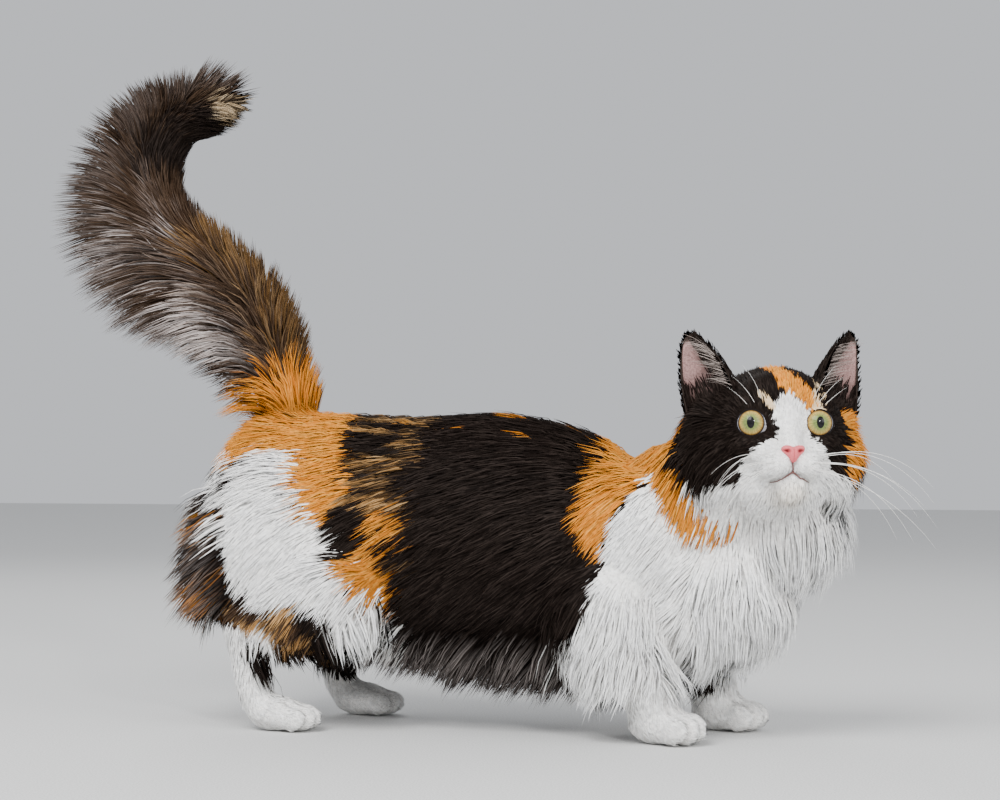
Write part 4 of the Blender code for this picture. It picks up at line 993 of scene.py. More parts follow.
def grow(name, bones, count, seed, unwrap, rings=2, pull=0.45, every=14, where=None, weight=None,
         wide=1.0, scatter=0.16, length=None, lift=None, droop=None, way=None, silver=0.0):
    """Grows one piece of the coat over the named bones.

    pull and every say how strongly, and round how many tufts, the hair is drawn into locks; scatter how far
    it strays from its lie; silver how pale its tips are. length, lift, droop and way take the bones' place.
    """
    draw = np.random.default_rng(seed)
    roots, normals = roots_on(bones, count, draw, where, weight)
    shares = bone_shares(roots)
    along = lie_of(roots, normals, shares)
    if way:
        along = unit(laid_flat(np.tile(np.array(way, float), (count, 1)), normals))
    along = unit(along + np.cross(along, normals) * draw.normal(0, scatter, count)[:, None])
    lengths = (length or coat_length(roots, shares)) * draw.uniform(0.72, 1.12, count)
    guard = draw.random(count) < GUARD_SHARE
    lengths = np.where(guard, lengths * GUARD_LENGTH, lengths)
    lifts = np.radians(np.tile(lift, (count, 1)) if lift else shares @ BONE_LIFTS)
    lifts = lifts * draw.uniform(0.6, 1.4, count)[:, None]
    start = along * np.cos(lifts[:, :1]) + normals * np.sin(lifts[:, :1])
    end = along * np.cos(lifts[:, 1:]) + normals * np.sin(lifts[:, 1:])
    hang = shares @ BONE_DROOPS if droop is None else np.full(count, droop)
    paths = curved(roots, start, unit(end + hang[:, None] * DOWN), lengths, rings)
    paths = drawn_together(paths, pull, every, draw)
    paths[:, :, 2] = np.maximum(paths[:, :, 2], LEAST_HEIGHT)
    middle = paths[:, -2] * 0.6 + paths[:, -1] * 0.4 if rings == 2 else paths[:, -2]
    colours = hair_colours(middle, roots, bone_shares(middle, 3), draw, seed, 4, 0.32, 0.26)
    tips = np.linspace(0.70, 1.3, rings + 1)[None] * np.ones((count, 1))
    tips[colours.mean(axis=1) > 0.5] = np.linspace(0.90, 1.06, rings + 1)
    shades = colours[:, None] * tips[:, :, None]
    paler = silver * np.linspace(-0.8, 1, rings + 1).clip(0)[None] * draw.uniform(-0.3, 1.3, count)[:, None]
    shades += (SILVER - shades) * np.clip(paler, 0, 1)[:, :, None]
    widths = (shares @ BONE_WIDTHS) * draw.uniform(0.75, 1.25, count) * wide
    widths = np.where(guard, widths * GUARD_WIDTH, widths)
    made = build_tufts(name, paths, normals, widths, np.clip(shades, 0, 0.9), unwrap(roots))
    made.data.materials.append(COAT)
    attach(made, "root")


def around_barrel(places):
    """Unwrap of the trunk: along the body, and round it from the belly."""
    turn = np.arctan2(places[:, 1], places[:, 2] - 115) / (2 * math.pi) + 0.5
    return np.stack([turn, (places[:, 0] + 300) / 600], axis=1)


def around_head(places):
    """Unwrap of the head: round it, and up from the throat."""
    local = in_head(places)
    turn = np.arctan2(local[:, 1], local[:, 0]) / (2 * math.pi) + 0.5
    rise = np.arctan2(local[:, 2], np.hypot(local[:, 0], local[:, 1])) / math.pi + 0.5
    return np.stack([turn, rise], axis=1)


def around_bib(places):
    """Unwrap of neck and chest: round the upright through the throat, and up."""
    turn = np.arctan2(places[:, 1], places[:, 0] - 130) / (2 * math.pi) + 0.5
    return np.stack([turn, places[:, 2] / 300], axis=1)


def around_legs(places):
    """Unwrap of the four legs, side by side, each round its own upright."""
    fore, left = places[:, 0] > 0, places[:, 1] > 0
    centre_x, centre_y = np.where(fore, 112, -140), np.where(left, 38, -50)
    turn = np.arctan2(places[:, 1] - centre_y, places[:, 0] - centre_x) / (2 * math.pi) + 0.5
    return np.stack([(turn * 0.9 + 0.05 + fore + 2 * left) / 4, places[:, 2] / 220], axis=1)


def around_tail(places):
    """Unwrap of the tail: round it, and from root to tip."""
    step = nearest_tail(places)[0]
    rearward = dots(places - TAIL_PLACE[step], TAIL_BACK[step])
    turn = np.arctan2(places[:, 1], rearward) / (2 * math.pi) + 0.5
    return np.stack([turn, step / TAIL_STEPS], axis=1)


# Coat of the head.
# Very short hair on nose and face, longer on crown and cheeks, where it fans out and down. It stops at the
# nose leather and at the edge of the lids.


def clear_of_eyes(places):
    """Whether each place is clear of the eyes, their lids and the nose leather."""
    local = in_head(places)
    nose_gap = np.hypot(local[:, 1] / 6.6, (local[:, 2] - NOSE_PLACE[2] + 1) / 5.2)
    clear = (nose_gap > 1) | (local[:, 0] < 30)
    for side in EYES:
        gap, front = lid_gap(places, side)
        clear &= (gap > 1.0) | ~front
    return clear


def before_ears(places):
    """Whether each place is on the face rather than the back of the head."""
    return in_head(places)[:, 0] > -4


grow("coat_face", ["head"], 12000, 1, around_head, pull=0.12, every=8, wide=0.75,
     where=lambda p: clear_of_eyes(p) & before_ears(p), scatter=0.12)
grow("coat_head", ["head"], 5500, 2, around_head, pull=0.3, every=12,
     where=lambda p: ~before_ears(p))
grow("coat_crown", ["head"], 1800, 23, around_head, pull=0.3, every=10, wide=0.75, length=6.5,
     lift=(42, 24),
     where=lambda p: (in_head(p)[:, 2] > 22) & (np.abs(in_head(p)[:, 0] + 3) < 23))

# Ruff and neck.
# The bib of long white hair from the throat down the chest, and the softer hair of neck and shoulders. It
# hangs in locks, longest on the chest and at the elbows.
grow("coat_ruff", ["bib"], 7000, 3, around_bib, rings=3, pull=0.6, every=26, wide=0.9)
grow("coat_neck", ["neck"], 7000, 4, around_bib, pull=0.4, every=18, wide=0.8)
grow("coat_shoulders", ["shoulder_right", "shoulder_left"], 8000, 5, around_barrel, wide=0.85,
     weight=lambda p: np.where(p[:, 1] < 0, 1.0, 0.5))
grow("coat_elbows", ["shoulder_right", "shoulder_left", "foreleg_right", "foreleg_left", "bib"],
     3600, 18, around_legs, rings=3, pull=0.6, every=26, wide=0.75, length=30, lift=(38, 18), droop=0.5,
     where=lambda p: (p[:, 2] > 40) & (p[:, 2] < 92), way=(-0.4, 0, -1),
     weight=lambda p: np.where(p[:, 0] < 100, 2.0, 1.0) * np.where(p[:, 1] < 20, 1.0, 0.4))

# Back, flanks and belly.
# Semi-long hair that lies back along the trunk, and the fringe that hangs under it. The near flank has the
# finer and closer tufts.


def above_fringe(places):
    """Whether each place is above the belly's fringe."""
    return places[:, 2] > 74


grow("coat_back_right", ["trunk"], 13500, 6, around_barrel, wide=0.62, scatter=0.12,
     where=lambda p: above_fringe(p) & (p[:, 1] < 0))
grow("coat_back_left", ["trunk"], 5500, 7, around_barrel, wide=0.85, scatter=0.12,
     where=lambda p: above_fringe(p) & (p[:, 1] > 0))
grow("coat_belly", ["trunk"], 4000, 8, around_barrel, pull=0.5, wide=0.75,
     where=lambda p: ~above_fringe(p))
grow("coat_fringe", ["trunk"], 3600, 19, around_barrel, rings=3, pull=0.6, every=26, wide=0.7,
     where=lambda p: (p[:, 2] < 70) & (p[:, 0] < 100), length=38, lift=(38, 20), droop=1.0, silver=0.6)

# Rump, thighs and breeches.
# Hair that lies back over the hips, stands off the rear of the thighs in long breeches and hangs in a
# pale fringe from the fold of the flank.
grow("coat_rump", ["rump"], 6000, 9, around_barrel, wide=0.65)
grow("coat_thigh_right", ["thigh_right"], 8000, 10, around_legs, pull=0.45, every=20, wide=0.75)
grow("coat_thigh_left", ["thigh_left"], 3400, 11, around_legs, pull=0.45, every=20, wide=0.9)
grow("coat_breeches", ["thigh_right", "thigh_left", "rump"], 3000, 20, around_legs, rings=3,
     pull=0.6, every=24, wide=0.75, length=34, lift=(44, 34), droop=0.2, silver=0.35,
     where=lambda p: (p[:, 0] < -158) & (p[:, 2] > 58) & (p[:, 2] < 150))
grow("coat_flank_fringe", ["thigh_right", "thigh_left", "trunk"], 1500, 21, around_legs, rings=3,
     pull=0.6, every=24, wide=0.75, length=34, lift=(26, 12), droop=0.3, way=(0.25, 0, -1),
     where=lambda p: (p[:, 0] > -104) & (p[:, 0] < -66) & (p[:, 2] > 44) & (p[:, 2] < 84))

# Legs and paws.
# Short close hair, shortest on the toes, and a dark fringe that hangs before the shins. The soles rest on
# the floor, so no hair grows under them.
grow("coat_shins", ["thigh_right", "thigh_left", "hock_right", "hock_left"], 900, 22, around_legs,
     rings=3, pull=0.6, every=24, wide=0.75, length=24, lift=(34, 20), droop=0.5, way=(0.3, 0, -1),
     where=lambda p: (p[:, 0] > -150) & (p[:, 0] < -104) & (p[:, 2] > 38) & (p[:, 2] < 66))
grow("coat_forelegs", ["foreleg_right", "foreleg_left"], 5500, 12, around_legs, pull=0.25,
     wide=0.75)
grow("coat_hocks", ["hock_right", "hock_left"], 3000, 13, around_legs, pull=0.15, wide=0.8)
grow("coat_paws", [name for name in BONE_NAMES if "paw" in name], 7500, 14, around_legs,
     pull=0.1, where=lambda p: p[:, 2] > 2 * SOLE_HEIGHT, wide=0.8)

# The plume.
# The tail's long hair: it slants out of the flesh towards the tip and is longest behind, where it hangs. It
# grows in three lengths, from root to tip.
PLUME_STEPS = (0, 34, 56, TAIL_STEPS)
PLUME_SHARES = np.zeros(len(BONES))
PLUME_SHARES[BONE_NAMES.index("tail")] = 1


def grow_plume(name, count, seed, first, last):
    """Grows the plume between two steps of the tail, out to its reach behind and in front."""
    draw = np.random.default_rng(seed)

    def in_part(places):
        steps = nearest_tail(places)[0]
        return (steps >= first) & (steps < last)

    roots, normals = roots_on(["tail"], count, draw, in_part)
    step = nearest_tail(roots)[0]
    along = TAIL_ALONG[step]
    off = laid_flat(roots - TAIL_PLACE[step], along)
    depth = np.linalg.norm(off, axis=1)
    out = unit(off)
    rearward = (1 + dots(out, TAIL_BACK[step])) / 2
    reach = TAIL_BEFORE[step] + (TAIL_BEHIND[step] - TAIL_BEFORE[step]) * rearward ** 1.3
    lift = 0.36 + 0.50 * np.clip((reach - depth) / 36, 0, 1)
    far = step / (TAIL_STEPS - 1)
    forth = np.where(far > 0.85, 1.0, 0.85 - 0.25 * rearward)
    hang = (0.20 + 0.35 * np.clip(0.5 - far, 0, 1)) * rearward
    hang += 0.30 * fade(far, 0.40, -0.2) * rearward
    along = unit(along + np.cross(along, out) * draw.normal(0, 0.16, count)[:, None])
    start = unit(out * (lift + 0.1)[:, None] + along * (forth + 0.25)[:, None])
    end = unit(out * lift[:, None] + along * (forth - 0.15)[:, None] + DOWN * hang[:, None])
    rise = (dots(start, out) + dots(end, out)) / 2
    lengths = np.clip((reach - depth) / np.maximum(rise, 0.3), 15, 62) * draw.uniform(0.70, 1.08, count)
    paths = drawn_together(curved(roots, start, end, lengths, 3), 0.45, 20, draw)
    shares = np.tile(PLUME_SHARES, (count, 1))
    colours = hair_colours(paths[:, 2], roots, shares, draw, seed, 5, 0.30, 0.28)
    shades = colours[:, None] * np.linspace(0.5, 1.5, 4)[None, :, None]
    made = build_tufts(name, paths, unit(normals + 0.3 * out), draw.uniform(0.7, 1.2, count), shades,
                       around_tail(roots), softness=0.6)
    made.data.materials.append(COAT)
    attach(made, "root")


for i, name in enumerate(("plume_root", "plume_middle", "plume_tip")):
    grow_plume(name, 4700, 15 + i, PLUME_STEPS[i], PLUME_STEPS[i + 1])

# Eyes.
# Round moist eyes, green round the pupil and gold outside, each behind a dark-rimmed pair of lids that runs
# out to a corner beside the nose. A clear bulge stands over the iris and catches the light.
IRIS = 7.2
CORNEA_WIDTH, CORNEA_RISE = IRIS * 1.08, 1.0
PUPIL = (2.0, 3.2)
PUPIL_BLACK = (0.003, 0.003, 0.004)
IRIS_STOPS = [(0.0, (0.14, 0.20, 0.07)), (0.36, (0.25, 0.31, 0.09)), (0.47, (0.44, 0.39, 0.11)),
              (0.59, (0.60, 0.42, 0.11)), (0.66, (0.36, 0.20, 0.05)), (0.71, (0.025, 0.016, 0.012)),
              (0.75, (0.05, 0.04, 0.035)), (0.79, (0.62, 0.62, 0.68)), (0.95, (0.50, 0.40, 0.40))]
LID_SECTION = [(0.0, 0.2), (0.1, 0.5), (0.35, 0.65), (0.8, 0.55), (1.3, 0.1), (1.6, -0.6), (1.6, -1.2),
               (0.5, -1.2)]
LID_THICK = 0.9
WIDEST_LID = 0.985
TURNS = np.linspace(0, 2 * math.pi, 97)[:-1]


def grid_object(name, rows, joined=False):
    """A smooth mesh from rows of places in millimetres, each row closed to a ring."""
    shape = bmesh.new()
    close_rings(shape, [[shape.verts.new(in_frame(p)) for p in row] for row in rows], joined)
    bmesh.ops.recalc_face_normals(shape, faces=shape.faces)
    mesh = bpy.data.meshes.new(name)
    shape.to_mesh(mesh)
    shape.free()
    make_smooth(mesh)
    return put_in_scene(name, mesh)


def eye_material():
    """Pupil, fibred iris, its dark edge and the white, by the distance from the eye's axis."""
    material, nodes, link, shader = new_material("eye_gold")
    place = nodes.new("ShaderNodeAttribute")
    place.attribute_name = "iris_place"
    split = nodes.new("ShaderNodeSeparateXYZ")
    link(place.outputs["Vector"], split.inputs["Vector"])
    ramp = nodes.new("ShaderNodeValToRGB")
    for i, (spot, colour) in enumerate(IRIS_STOPS):
        stop = ramp.color_ramp.elements[i] if i < 2 else ramp.color_ramp.elements.new(spot)
        stop.position = spot
        stop.color = (*colour, 1)
    link(split.outputs["Z"], ramp.inputs["Fac"])
    stretch = set_inputs(nodes.new("ShaderNodeVectorMath"), {1: (1.6, 1.6, 0.5)})
    stretch.operation = "MULTIPLY"
    link(place.outputs["Vector"], stretch.inputs[0])
    fibres = set_inputs(nodes.new("ShaderNodeTexNoise"), {"Scale": 9, "Detail": 4})
    link(stretch.outputs["Vector"], fibres.inputs["Vector"])
    depth = set_inputs(nodes.new("ShaderNodeMapRange"), {"From Min": 0.35, "From Max": 0.65, "To Min": 0.42,
                                                         "To Max": 0.85})
    link(fibres.outputs["Fac"], depth.inputs["Value"])
    fibred = nodes.new("ShaderNodeVectorMath")
    fibred.operation = "SCALE"
    link(ramp.outputs["Color"], fibred.inputs[0])
    link(depth.outputs["Result"], fibred.inputs["Scale"])
    pupil = nodes.new("ShaderNodeAttribute")
    pupil.attribute_name = "pupil"
    edge = set_inputs(nodes.new("ShaderNodeMapRange"), {"From Min": 0.97, "From Max": 1.04})
    link(pupil.outputs["Fac"], edge.inputs["Value"])
    mix = nodes.new("ShaderNodeMix")
    mix.data_type = "RGBA"
    set_inputs(mix, {"A": (*PUPIL_BLACK, 1)})
    link(edge.outputs["Result"], mix.inputs["Factor"])
    link(fibred.outputs["Vector"], mix.inputs["B"])
    link(mix.outputs["Result"], shader.inputs["Base Color"])
    set_inputs(shader, {"Roughness": 0.4, "Specular IOR Level": 0.08, "Coat Weight": 0.4,
                        "Coat Roughness": 0.03, "Coat IOR": 1.4})
    return material


def plain_material(name, colour, roughness, specular=0.4):
    """One colour, a little lighter and darker from place to place."""
    material, nodes, link, shader = new_material(name)
    place = nodes.new("ShaderNodeTexCoord")
    noise = set_inputs(nodes.new("ShaderNodeTexNoise"), {"Scale": 900})
    ramp = nodes.new("ShaderNodeValToRGB")
    for stop, spot, tone in zip(ramp.color_ramp.elements, (0.3, 0.7), (0.8, 1.15)):
        stop.position = spot
        stop.color = (*[min(c * tone, 1) for c in colour], 1)
    link(place.outputs["Object"], noise.inputs["Vector"])
    link(noise.outputs["Fac"], ramp.inputs["Fac"])
    link(ramp.outputs["Color"], shader.inputs["Base Color"])
    set_inputs(shader, {"Roughness": roughness, "Specular IOR Level": specular})
    return material


def make_eyeball(name, side):
    """An eyeball in rings round its gaze, and at each point how far it lies out in iris and pupil."""
    middle, inward, up, gaze = eye_axes(side)
    ring = np.outer(np.cos(TURNS), inward) + np.outer(np.sin(TURNS), up)
    rows, radial, ratio = [], [], []
    for tilt in np.radians(np.concatenate([np.linspace(1, 60, 60), np.linspace(63, 178, 30)])):
        bulge = CORNEA_RISE * max(1 - (tilt / math.asin(CORNEA_WIDTH / EYE_RADIUS)) ** 2, 0)
        rows.append(middle + (ring * math.sin(tilt) + gaze * math.cos(tilt)) * (EYE_RADIUS + bulge))
        out = EYE_RADIUS * math.sin(tilt) if tilt < math.pi / 2 else EYE_RADIUS
        radial.append(np.stack([np.cos(TURNS), np.sin(TURNS), np.full(len(TURNS), out / 10)], axis=1))
        ratio.append(out * np.sqrt((np.cos(TURNS) / PUPIL[0]) ** 2 + (np.sin(TURNS) / PUPIL[1]) ** 2))
    made = grid_object(name, rows)
    layer = made.data.attributes.new("iris_place", "FLOAT_VECTOR", "POINT")
    layer.data.foreach_set("vector", np.concatenate(radial).astype(np.float32).ravel())
    layer = made.data.attributes.new("pupil", "FLOAT", "POINT")
    layer.data.foreach_set("value", np.concatenate(ratio).astype(np.float32))
    return made


def make_lids(name, side):
    """The rim of both lids, one section carried round their edge."""
    middle, inward, up, gaze = eye_axes(side)
    ring = np.outer(np.cos(TURNS), inward) + np.outer(np.sin(TURNS), up)
    opening = np.arcsin(np.minimum(lid_reach(TURNS) / (EYE_RADIUS + LID_THICK), WIDEST_LID))
    rows = []
    for beyond, height in LID_SECTION:
        tilt = opening + beyond / EYE_RADIUS
        out = ring * np.sin(tilt)[:, None] + gaze * np.cos(tilt)[:, None]
        rows.append(middle + out * (EYE_RADIUS + height))
    return grid_object(name, rows, joined=True)


EYE_GOLD = eye_material()
LID_SKIN = plain_material("lid_skin", (0.010, 0.008, 0.008), 0.7, 0.05)
for word, side in SIDES:
    eye = make_eyeball("eyeball_" + word, side)
    eye.data.materials.append(EYE_GOLD)
    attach(eye, "root")
    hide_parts("eye_" + word)

    lids = make_lids("lids_" + word, side)
    lids.data.materials.append(LID_SKIN)
    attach(lids, "root")

# Nose and lips.
# Pink nose leather with two comma-shaped nostrils, and the dark edge of the lips, which runs down from it
# and out along the mouth. Lips and groove are thin tubes sunk in the hair.
NOSE_OUTLINE = [(0.0, 3.4), (2.8, 4.3), (5.4, 4.1), (6.6, 2.6), (6.1, 0.8), (4.6, -0.8), (2.9, -2.6),
                (1.5, -4.6), (0.0, -5.6)]
NOSE_PINK = np.array([0.67, 0.14, 0.155])
NOSE_RINGS = 26
NOSE_DOME, NOSE_BACK = 2.6, 5.0
NOSTRIL_DEEP, GROOVE_DEEP = 2.3, 0.5
LIP_HALF, GROOVE_HALF = 0.55, 0.42
LIP_SKIN = plain_material("lip_skin", (0.16, 0.075, 0.068), 0.6, 0.2)
NOSE_LEATHER = marked_material("nose_leather", 1300, 0.10, 0.38, 0.4, 0.25)


def make_nose():
    """Polar rings over the outline of the leather, domed, with two pits and a groove between them, painted
    darker as shade.
    """
    half = course_through(NOSE_OUTLINE, 33)
    half[:, 0] = np.maximum(half[:, 0], 0)
    edge = np.concatenate([half, (half * (-1, 1))[-2:0:-1]])
    rows, colours = [], []
    for reach in np.concatenate([np.linspace(0.03, 1, NOSE_RINGS), [1.0, 0.9]]):
        left, up = (edge * reach).T
        behind = NOSE_BACK if len(rows) >= NOSE_RINGS else 0
        pit = np.exp(-((np.abs(left) - 3.5) / 1.25) ** 2 - ((up - 0.9) / 1.05) ** 2)
        slit = np.exp(-((np.abs(left) - 5.1) / 1.3) ** 2 - ((up - 1.3) / 0.5) ** 2)
        groove = np.exp(-(left / 0.4) ** 2) * (up < 2)
        hollow = np.clip(pit + 0.6 * slit, 0, 1)
        forth = NOSE_DOME * (1 - reach ** 2.6) + 0.9 - behind - NOSTRIL_DEEP * hollow - GROOVE_DEEP * groove
        rows.append(from_head(np.stack([forth, left, up - 0.8], axis=1) + np.array(NOSE_PLACE)))
        # Painted shade: the nostril pits and the groove between them are painted darker than the leather.
        tone = 1 - 0.80 * hollow - 0.25 * groove
        colours.append(NOSE_PINK * tone[:, None] ** np.array([0.8, 1.1, 1.1]))
    made = grid_object("nose_leather", rows)
    paint_points(made.data, np.concatenate(colours))
    made.data.materials.append(NOSE_LEATHER)
    return made


nose = make_nose()
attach(nose, "root")
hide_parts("nose")

skin_tree = BVHTree.FromPolygons([tuple(p) for p in SKIN_PLACES], [tuple(c) for c in SKIN_CORNERS])


def on_face(left, up, above=0.9):
    """The place on the face that shows at a point of the front view, a little above the skin."""
    hit, normal = skin_tree.ray_cast(head_point(90, left, up), -(HEAD_AXES @ Vector((1, 0, 0))))[:2]
    return np.array(hit + normal * above)


def tube_rows(path, widths, sides=8):
    """Rings round a course, for a tube of the given half widths."""
    rows = []
    turns = [2 * math.pi * k / sides for k in range(sides)]
    for i, centre in enumerate(path):
        along = Vector(path[min(i + 1, len(path) - 1)] - path[max(i - 1, 0)]).normalized()
        across = along.cross(Vector((0.3, 0.2, 1))).normalized()
        other = along.cross(across)
        ring = [np.array(across * math.cos(a) + other * math.sin(a)) for a in turns]
        rows.append([centre + outward * widths[i] for outward in ring])
    return rows


for word, side in SIDES:
    path = [on_face(left * side, up) for left, up in course_through(MOUTH_LINE, 16)]
    lip = grid_object("lip_" + word, tube_rows(path, LIP_HALF * np.linspace(1, 0.3, len(path))))
    lip.data.materials.append(LIP_SKIN)
    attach(lip, "root")
path = [on_face(0, up) for up in np.linspace(-24.5, -31.5, 9)]
philtrum = grid_object("philtrum", tube_rows(path, np.full(len(path), GROOVE_HALF)))
philtrum.data.materials.append(LIP_SKIN)
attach(philtrum, "root")

# Ears.
# Upright cupped ears of thin skin, pink inside: dark fur covers their backs and the lower part of the cup,
# and pale hair sweeps out across it from the front edge.
EAR_BASE = (-7, 35, 14)
EAR_TIP = (-15, 50, 57.5)
EAR_LEAN = {RIGHT: 0, LEFT: 4}
EAR_OPENING = (0.84, 0.54, 0)
EAR_WIDTH = 17.5
EAR_SPREAD = math.radians(112)
EAR_THICK = 1.5
EAR_PINK = np.array([0.35, 0.21, 0.195])
EAR_HAIR_PALE = np.array([0.50, 0.42, 0.38])
FUR_TUFTS, CUP_TUFTS, LOW_TUFTS, SWEEPING_TUFTS = 2400, 900, 350, 80
EAR_COAT = marked_material("ear_skin", 900, 0.3, 0.6, 0.15, 0.3)
Ear = namedtuple("Ear", "inner outer inwards upward opening front")


def ear_grid(side, rows=30, columns=31):
    """The ear's leaf as rows of places, and the way to the middle of its cup at each."""
    base, tip = (np.array((p[0], p[1] * side, p[2]), float) for p in (EAR_BASE, EAR_TIP))
    tip[1] += EAR_LEAN[side]
    height = np.linalg.norm(tip - base)
    upward = (tip - base) / height
    opening = np.array(EAR_OPENING) * (1, side, 1)
    opening -= upward * (opening @ upward)
    opening /= np.linalg.norm(opening)
    across = np.cross(upward, opening)
    places, inwards = [], []
    for i in range(rows):
        u = -0.28 + 1.28 * i / (rows - 1)
        bare = min(max(u, 0), 0.985)
        radius = EAR_WIDTH * (1 - 0.42 * bare) * (1 + 0.12 * min(u, 0))
        middle = base + upward * (u * height) + opening * (4.0 * bare * bare)
        a = EAR_SPREAD * (1 - bare) ** 0.5 * np.linspace(-1, 1, columns)
        out = np.outer(-np.cos(a) * 0.82, opening) + np.outer(np.sin(a), across)
        places.append(middle + out * radius)
        inwards.append(-out / np.linalg.norm(out, axis=1, keepdims=True))
    return np.array(places), np.array(inwards), upward, opening, across


def make_ear(word, side):
    """The shell of an ear, pink where its cup is bare; gives back what its hair grows on."""
    places, inwards, upward, opening, across = ear_grid(side)
    rows, columns = places.shape[:2]
    front = columns - 1 if across[1] * side < 0 else 0
    places, inwards = from_head(places), inwards @ HEAD_BASIS.T
    thick = EAR_THICK * np.linspace(1, 0.55, rows)[:, None, None]
    inner, outer = places + inwards * thick / 2, places - inwards * thick / 2
    made = grid_object("ear_shell_" + word, np.concatenate([inner, outer[:, ::-1]], axis=1))
    behind = np.abs(np.arange(columns) - front) / (columns - 1)
    height = np.linspace(0, 1, rows)[:, None]
    rim = np.maximum(np.abs(np.linspace(-1, 1, columns)), np.linspace(-0.4, 1, rows)[:, None])
    bare = fade(behind, 0.38, 0.25) * fade(height, 0.36, 0.3) * (rim < 0.93)
    furred = BLACK * 2.5
    inner_colour = furred + (EAR_PINK * (0.55 + 0.35 * behind[:, None]) - furred) * bare[..., None]
    outer_colour = np.tile(BLACK, (rows, columns, 1))
    paint_points(made.data, np.concatenate([inner_colour, outer_colour], axis=1).reshape(-1, 3))
    made.data.materials.append(EAR_COAT)
    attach(made, "root")
    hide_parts("ear_" + word)
    return Ear(inner, outer, inwards, HEAD_BASIS @ upward, HEAD_BASIS @ opening, front)


def grow_ear_fur(word, ear, draw):
    """Short dark fur: over the back, down the front edge inside, and longer low in the cup."""
    rows, columns = ear.inner.shape[:2]
    i = draw.integers(7, rows, FUR_TUFTS)
    k = draw.integers(0, columns, FUR_TUFTS)
    inside = np.arange(FUR_TUFTS) < CUP_TUFTS
    low = np.arange(FUR_TUFTS) < LOW_TUFTS
    k[inside] = np.abs(ear.front - (draw.random(CUP_TUFTS) ** 1.3 * columns * 0.46).astype(int))
    i[inside] = np.minimum(i[inside], rows - 3)
    k[low] = draw.integers(1, columns - 1, LOW_TUFTS)
    i[low] = 8 + draw.integers(0, 7, LOW_TUFTS) * draw.integers(0, 2, LOW_TUFTS)
    normals = np.where(inside[:, None], ear.inwards[i, k], -ear.inwards[i, k])
    jitter = laid_flat(draw.normal(0, 0.6, (FUR_TUFTS, 3)), normals)
    roots = np.where(inside[:, None], ear.inner[i, k], ear.outer[i, k]) + jitter + normals * 0.25
    along = unit(laid_flat(unit(ear.upward + draw.normal(0, 0.15, (FUR_TUFTS, 3))), normals))
    lengths = draw.uniform(3.2, 6.0, FUR_TUFTS) * (1 - 0.35 * i / rows)
    lengths = lengths * np.where(low, 2.3, np.where(inside, 1.5, 1))
    paths = curved(roots, unit(along + normals * 0.25), unit(along + normals * 0.02), lengths, 2, 0.1)
    shades = tinted(np.tile(BLACK * 1.3, (FUR_TUFTS, 1)), draw)[:, None] * np.linspace(0.8, 1.5, 3)[:, None]
    flat = np.stack([k / columns * 0.45 + 0.02, i / rows], axis=1)
    made = build_tufts("ear_fur_" + word, paths, normals, draw.uniform(0.6, 1.0, FUR_TUFTS), shades, flat)
    made.data.materials.append(COAT)
    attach(made, "root")


def grow_ear_hair(word, side, ear, draw):
    """Long fine pale hair from the front edge, out across the cup."""
    count = SWEEPING_TUFTS
    rows, columns = ear.inner.shape[:2]
    i = draw.integers(8, rows - 5, count)
    k = np.abs(ear.front - draw.integers(0, 6, count))
    roots = ear.inner[i, k] + draw.normal(0, 0.5, (count, 3))
    outward = HEAD_BASIS @ np.array((0.25, side * 1.0, 0.12))
    ways = unit(outward + draw.normal(0, 0.26, (count, 3)) + ear.upward * 0.35)
    ends = unit(ways + HEAD_BASIS @ np.array((0.1, 0.5 * side, -0.1)))
    paths = curved(roots, unit(ways + ear.opening * 0.7), ends, draw.uniform(8, 27, count), 4, 0.2)
    paths = drawn_together(paths, 0.5, 16, draw)
    shades = EAR_HAIR_PALE * draw.uniform(0.2, 0.9, count)[:, None]
    shades = shades[:, None] * np.linspace(0.7, 1.2, 5)[:, None]
    flat = np.stack([k / columns * 0.45 + 0.52, i / rows], axis=1)
    made = build_tufts("ear_hair_" + word, paths, np.tile(ear.opening, (count, 1)),
                       draw.uniform(0.14, 0.28, count), shades, flat)
    made.data.materials.append(COAT)
    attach(made, "root")


for word, side in SIDES:
    ear = make_ear(word, side)
    draw = np.random.default_rng(40 + side)
    grow_ear_fur(word, ear, draw)
    grow_ear_hair(word, side, ear, draw)

# Whiskers.
# Stiff white hairs on both pads and over the eyes, thick at the root and arching down to a fine tip. Each
# stands with its root in the skin.
WHISKER_WHITE = plain_material("whisker_white", (0.80, 0.78, 0.74), 0.35)
WHISKER_FORTH = {RIGHT: 0.75, LEFT: 0.25}
LONGEST_WHISKER = {RIGHT: 62, LEFT: 88}
WHISKER_THICK, BROW_THICK = 0.43, 0.34
WHISKER_STEPS = 14
WHISKER_ROOT = 2


def whisker(name, root, start, fall, length, thick):
    """One tapered hair that leaves its root along start and falls away more and more."""
    path = [root - start * WHISKER_ROOT]
    for i in range(WHISKER_STEPS):
        heading = start + fall * (i / WHISKER_STEPS) ** 1.3
        path.append(path[-1] + heading / np.linalg.norm(heading) * length / WHISKER_STEPS)
    widths = thick / 2 * (1 - np.linspace(0, 0.86, len(path)))
    made = grid_object(name, tube_rows(path, widths, 6))
    made.data.materials.append(WHISKER_WHITE)
    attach(made, "root")


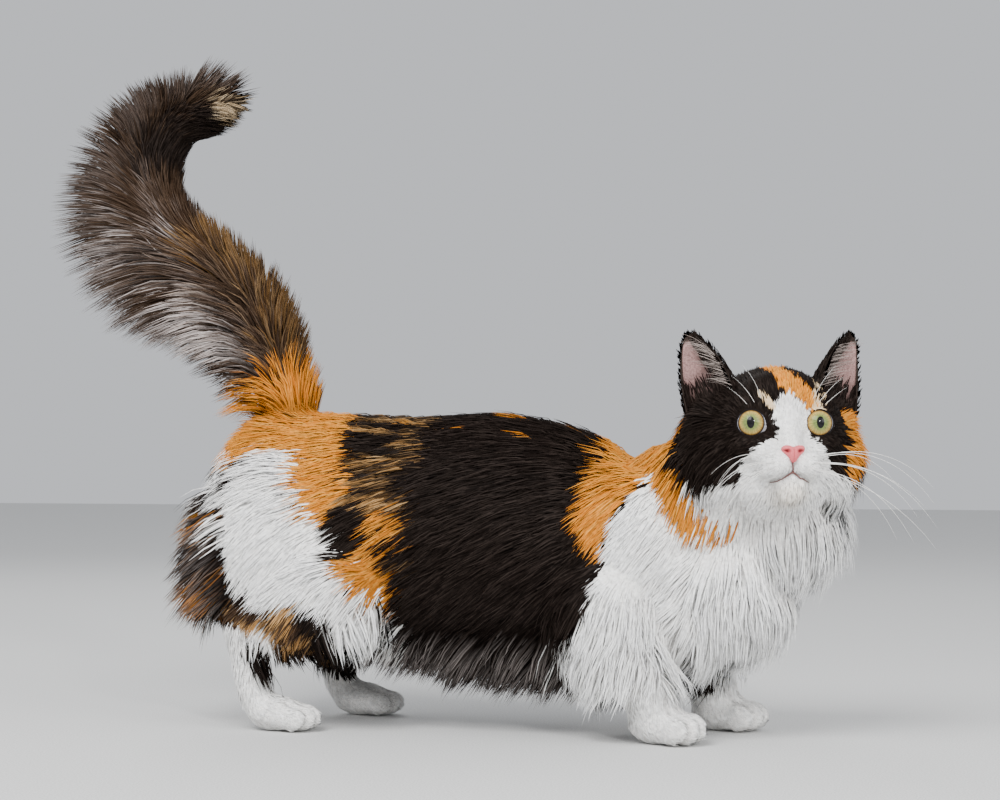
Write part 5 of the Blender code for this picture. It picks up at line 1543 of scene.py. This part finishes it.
for word, side in SIDES:
    draw = np.random.default_rng(60 + side)
    for k in range(9):
        row, column = divmod(k, 3)
        root = on_face((11 + 2.8 * column) * side, -22.5 - 3.6 * row, 0.3)
        rise = 0.20 - 0.22 * row + draw.uniform(-0.06, 0.06)
        start = HEAD_BASIS @ np.array((WHISKER_FORTH[side] - 0.12 * column, side, rise))
        fall = DOWN * draw.uniform(0.9, 1.7) + HEAD_BASIS @ np.array((-0.45, 0, 0))
        length = (LONGEST_WHISKER[side] - 8 * column - 4 * abs(row - 1)) * draw.uniform(0.85, 1.05)
        name = f"whisker_{word}_{k + 1}"
        whisker(name, root, start / np.linalg.norm(start), fall, length, WHISKER_THICK)
    for k in range(3):
        root = on_face((15 + 4 * k) * side, 12 - k, 0.3)
        start = HEAD_BASIS @ np.array((0.55, (0.3 + 0.25 * k) * side, 0.8))
        fall = HEAD_BASIS @ np.array((-0.5, 0.5 * side, 0))
        whisker(f"brow_hair_{word}_{k + 1}", root, start, fall, 26 - 4 * k, BROW_THICK)

# Floor, light and camera.
# A plain pale floor under soft studio light, seen from where the picture was taken. The lamps stand round
# the cat and all point at its middle.
floor_mesh = bpy.data.meshes.new("floor")
floor_mesh.from_pydata([(-6, -6, 0), (6, -6, 0), (6, 6, 0), (-6, 6, 0)], [], [(0, 1, 2, 3)])
floor = put_in_scene("floor", floor_mesh)
floor.data.materials.append(plain_material("floor_pale", (0.66, 0.66, 0.65), 0.7))

world = bpy.data.worlds.new("studio")
bpy.context.scene.world = world
world.use_nodes = True
set_inputs(world.node_tree.nodes["Background"], {"Color": (0.84, 0.86, 0.90, 1), "Strength": 0.8})

LIT_PLACE = Vector((0, 0, 0.2))


def soft_light(name, place, power, size):
    """A square soft lamp at a place in metres, pointed at the cat."""
    lamp = bpy.data.lights.new(name, "AREA")
    lamp.energy = power
    lamp.size = size
    made = put_in_scene(name, lamp)
    made.location = place
    made.rotation_euler = (LIT_PLACE - Vector(place)).to_track_quat("-Z", "Y").to_euler()


soft_light("key", (-0.3, -1.8, 1.9), 84, 1.4)
soft_light("side", (1.9, -1.0, 1.0), 20, 1.0)
soft_light("rim", (-0.9, 1.4, 1.5), 9, 1.0)
soft_light("catch", (0.85, -1.25, 0.70), 10, 0.13)

CAMERA_PLACE = (465.3, -1399.2, 170.0)
CAMERA_TURN = math.radians(18.6)
CAMERA_PITCH = math.atan(55 / 2361)
camera = bpy.data.cameras.new("camera")
camera.lens = 85
camera.sensor_width = 36
camera.clip_start = 0.01
viewer = put_in_scene("camera", camera)
viewer.location = in_frame(CAMERA_PLACE)
level = math.cos(CAMERA_PITCH)
forward = Vector((-math.sin(CAMERA_TURN) * level, math.cos(CAMERA_TURN) * level, math.sin(CAMERA_PITCH)))
viewer.rotation_mode = "QUATERNION"
viewer.rotation_quaternion = forward.to_track_quat("-Z", "Y")
bpy.context.scene.camera = viewer
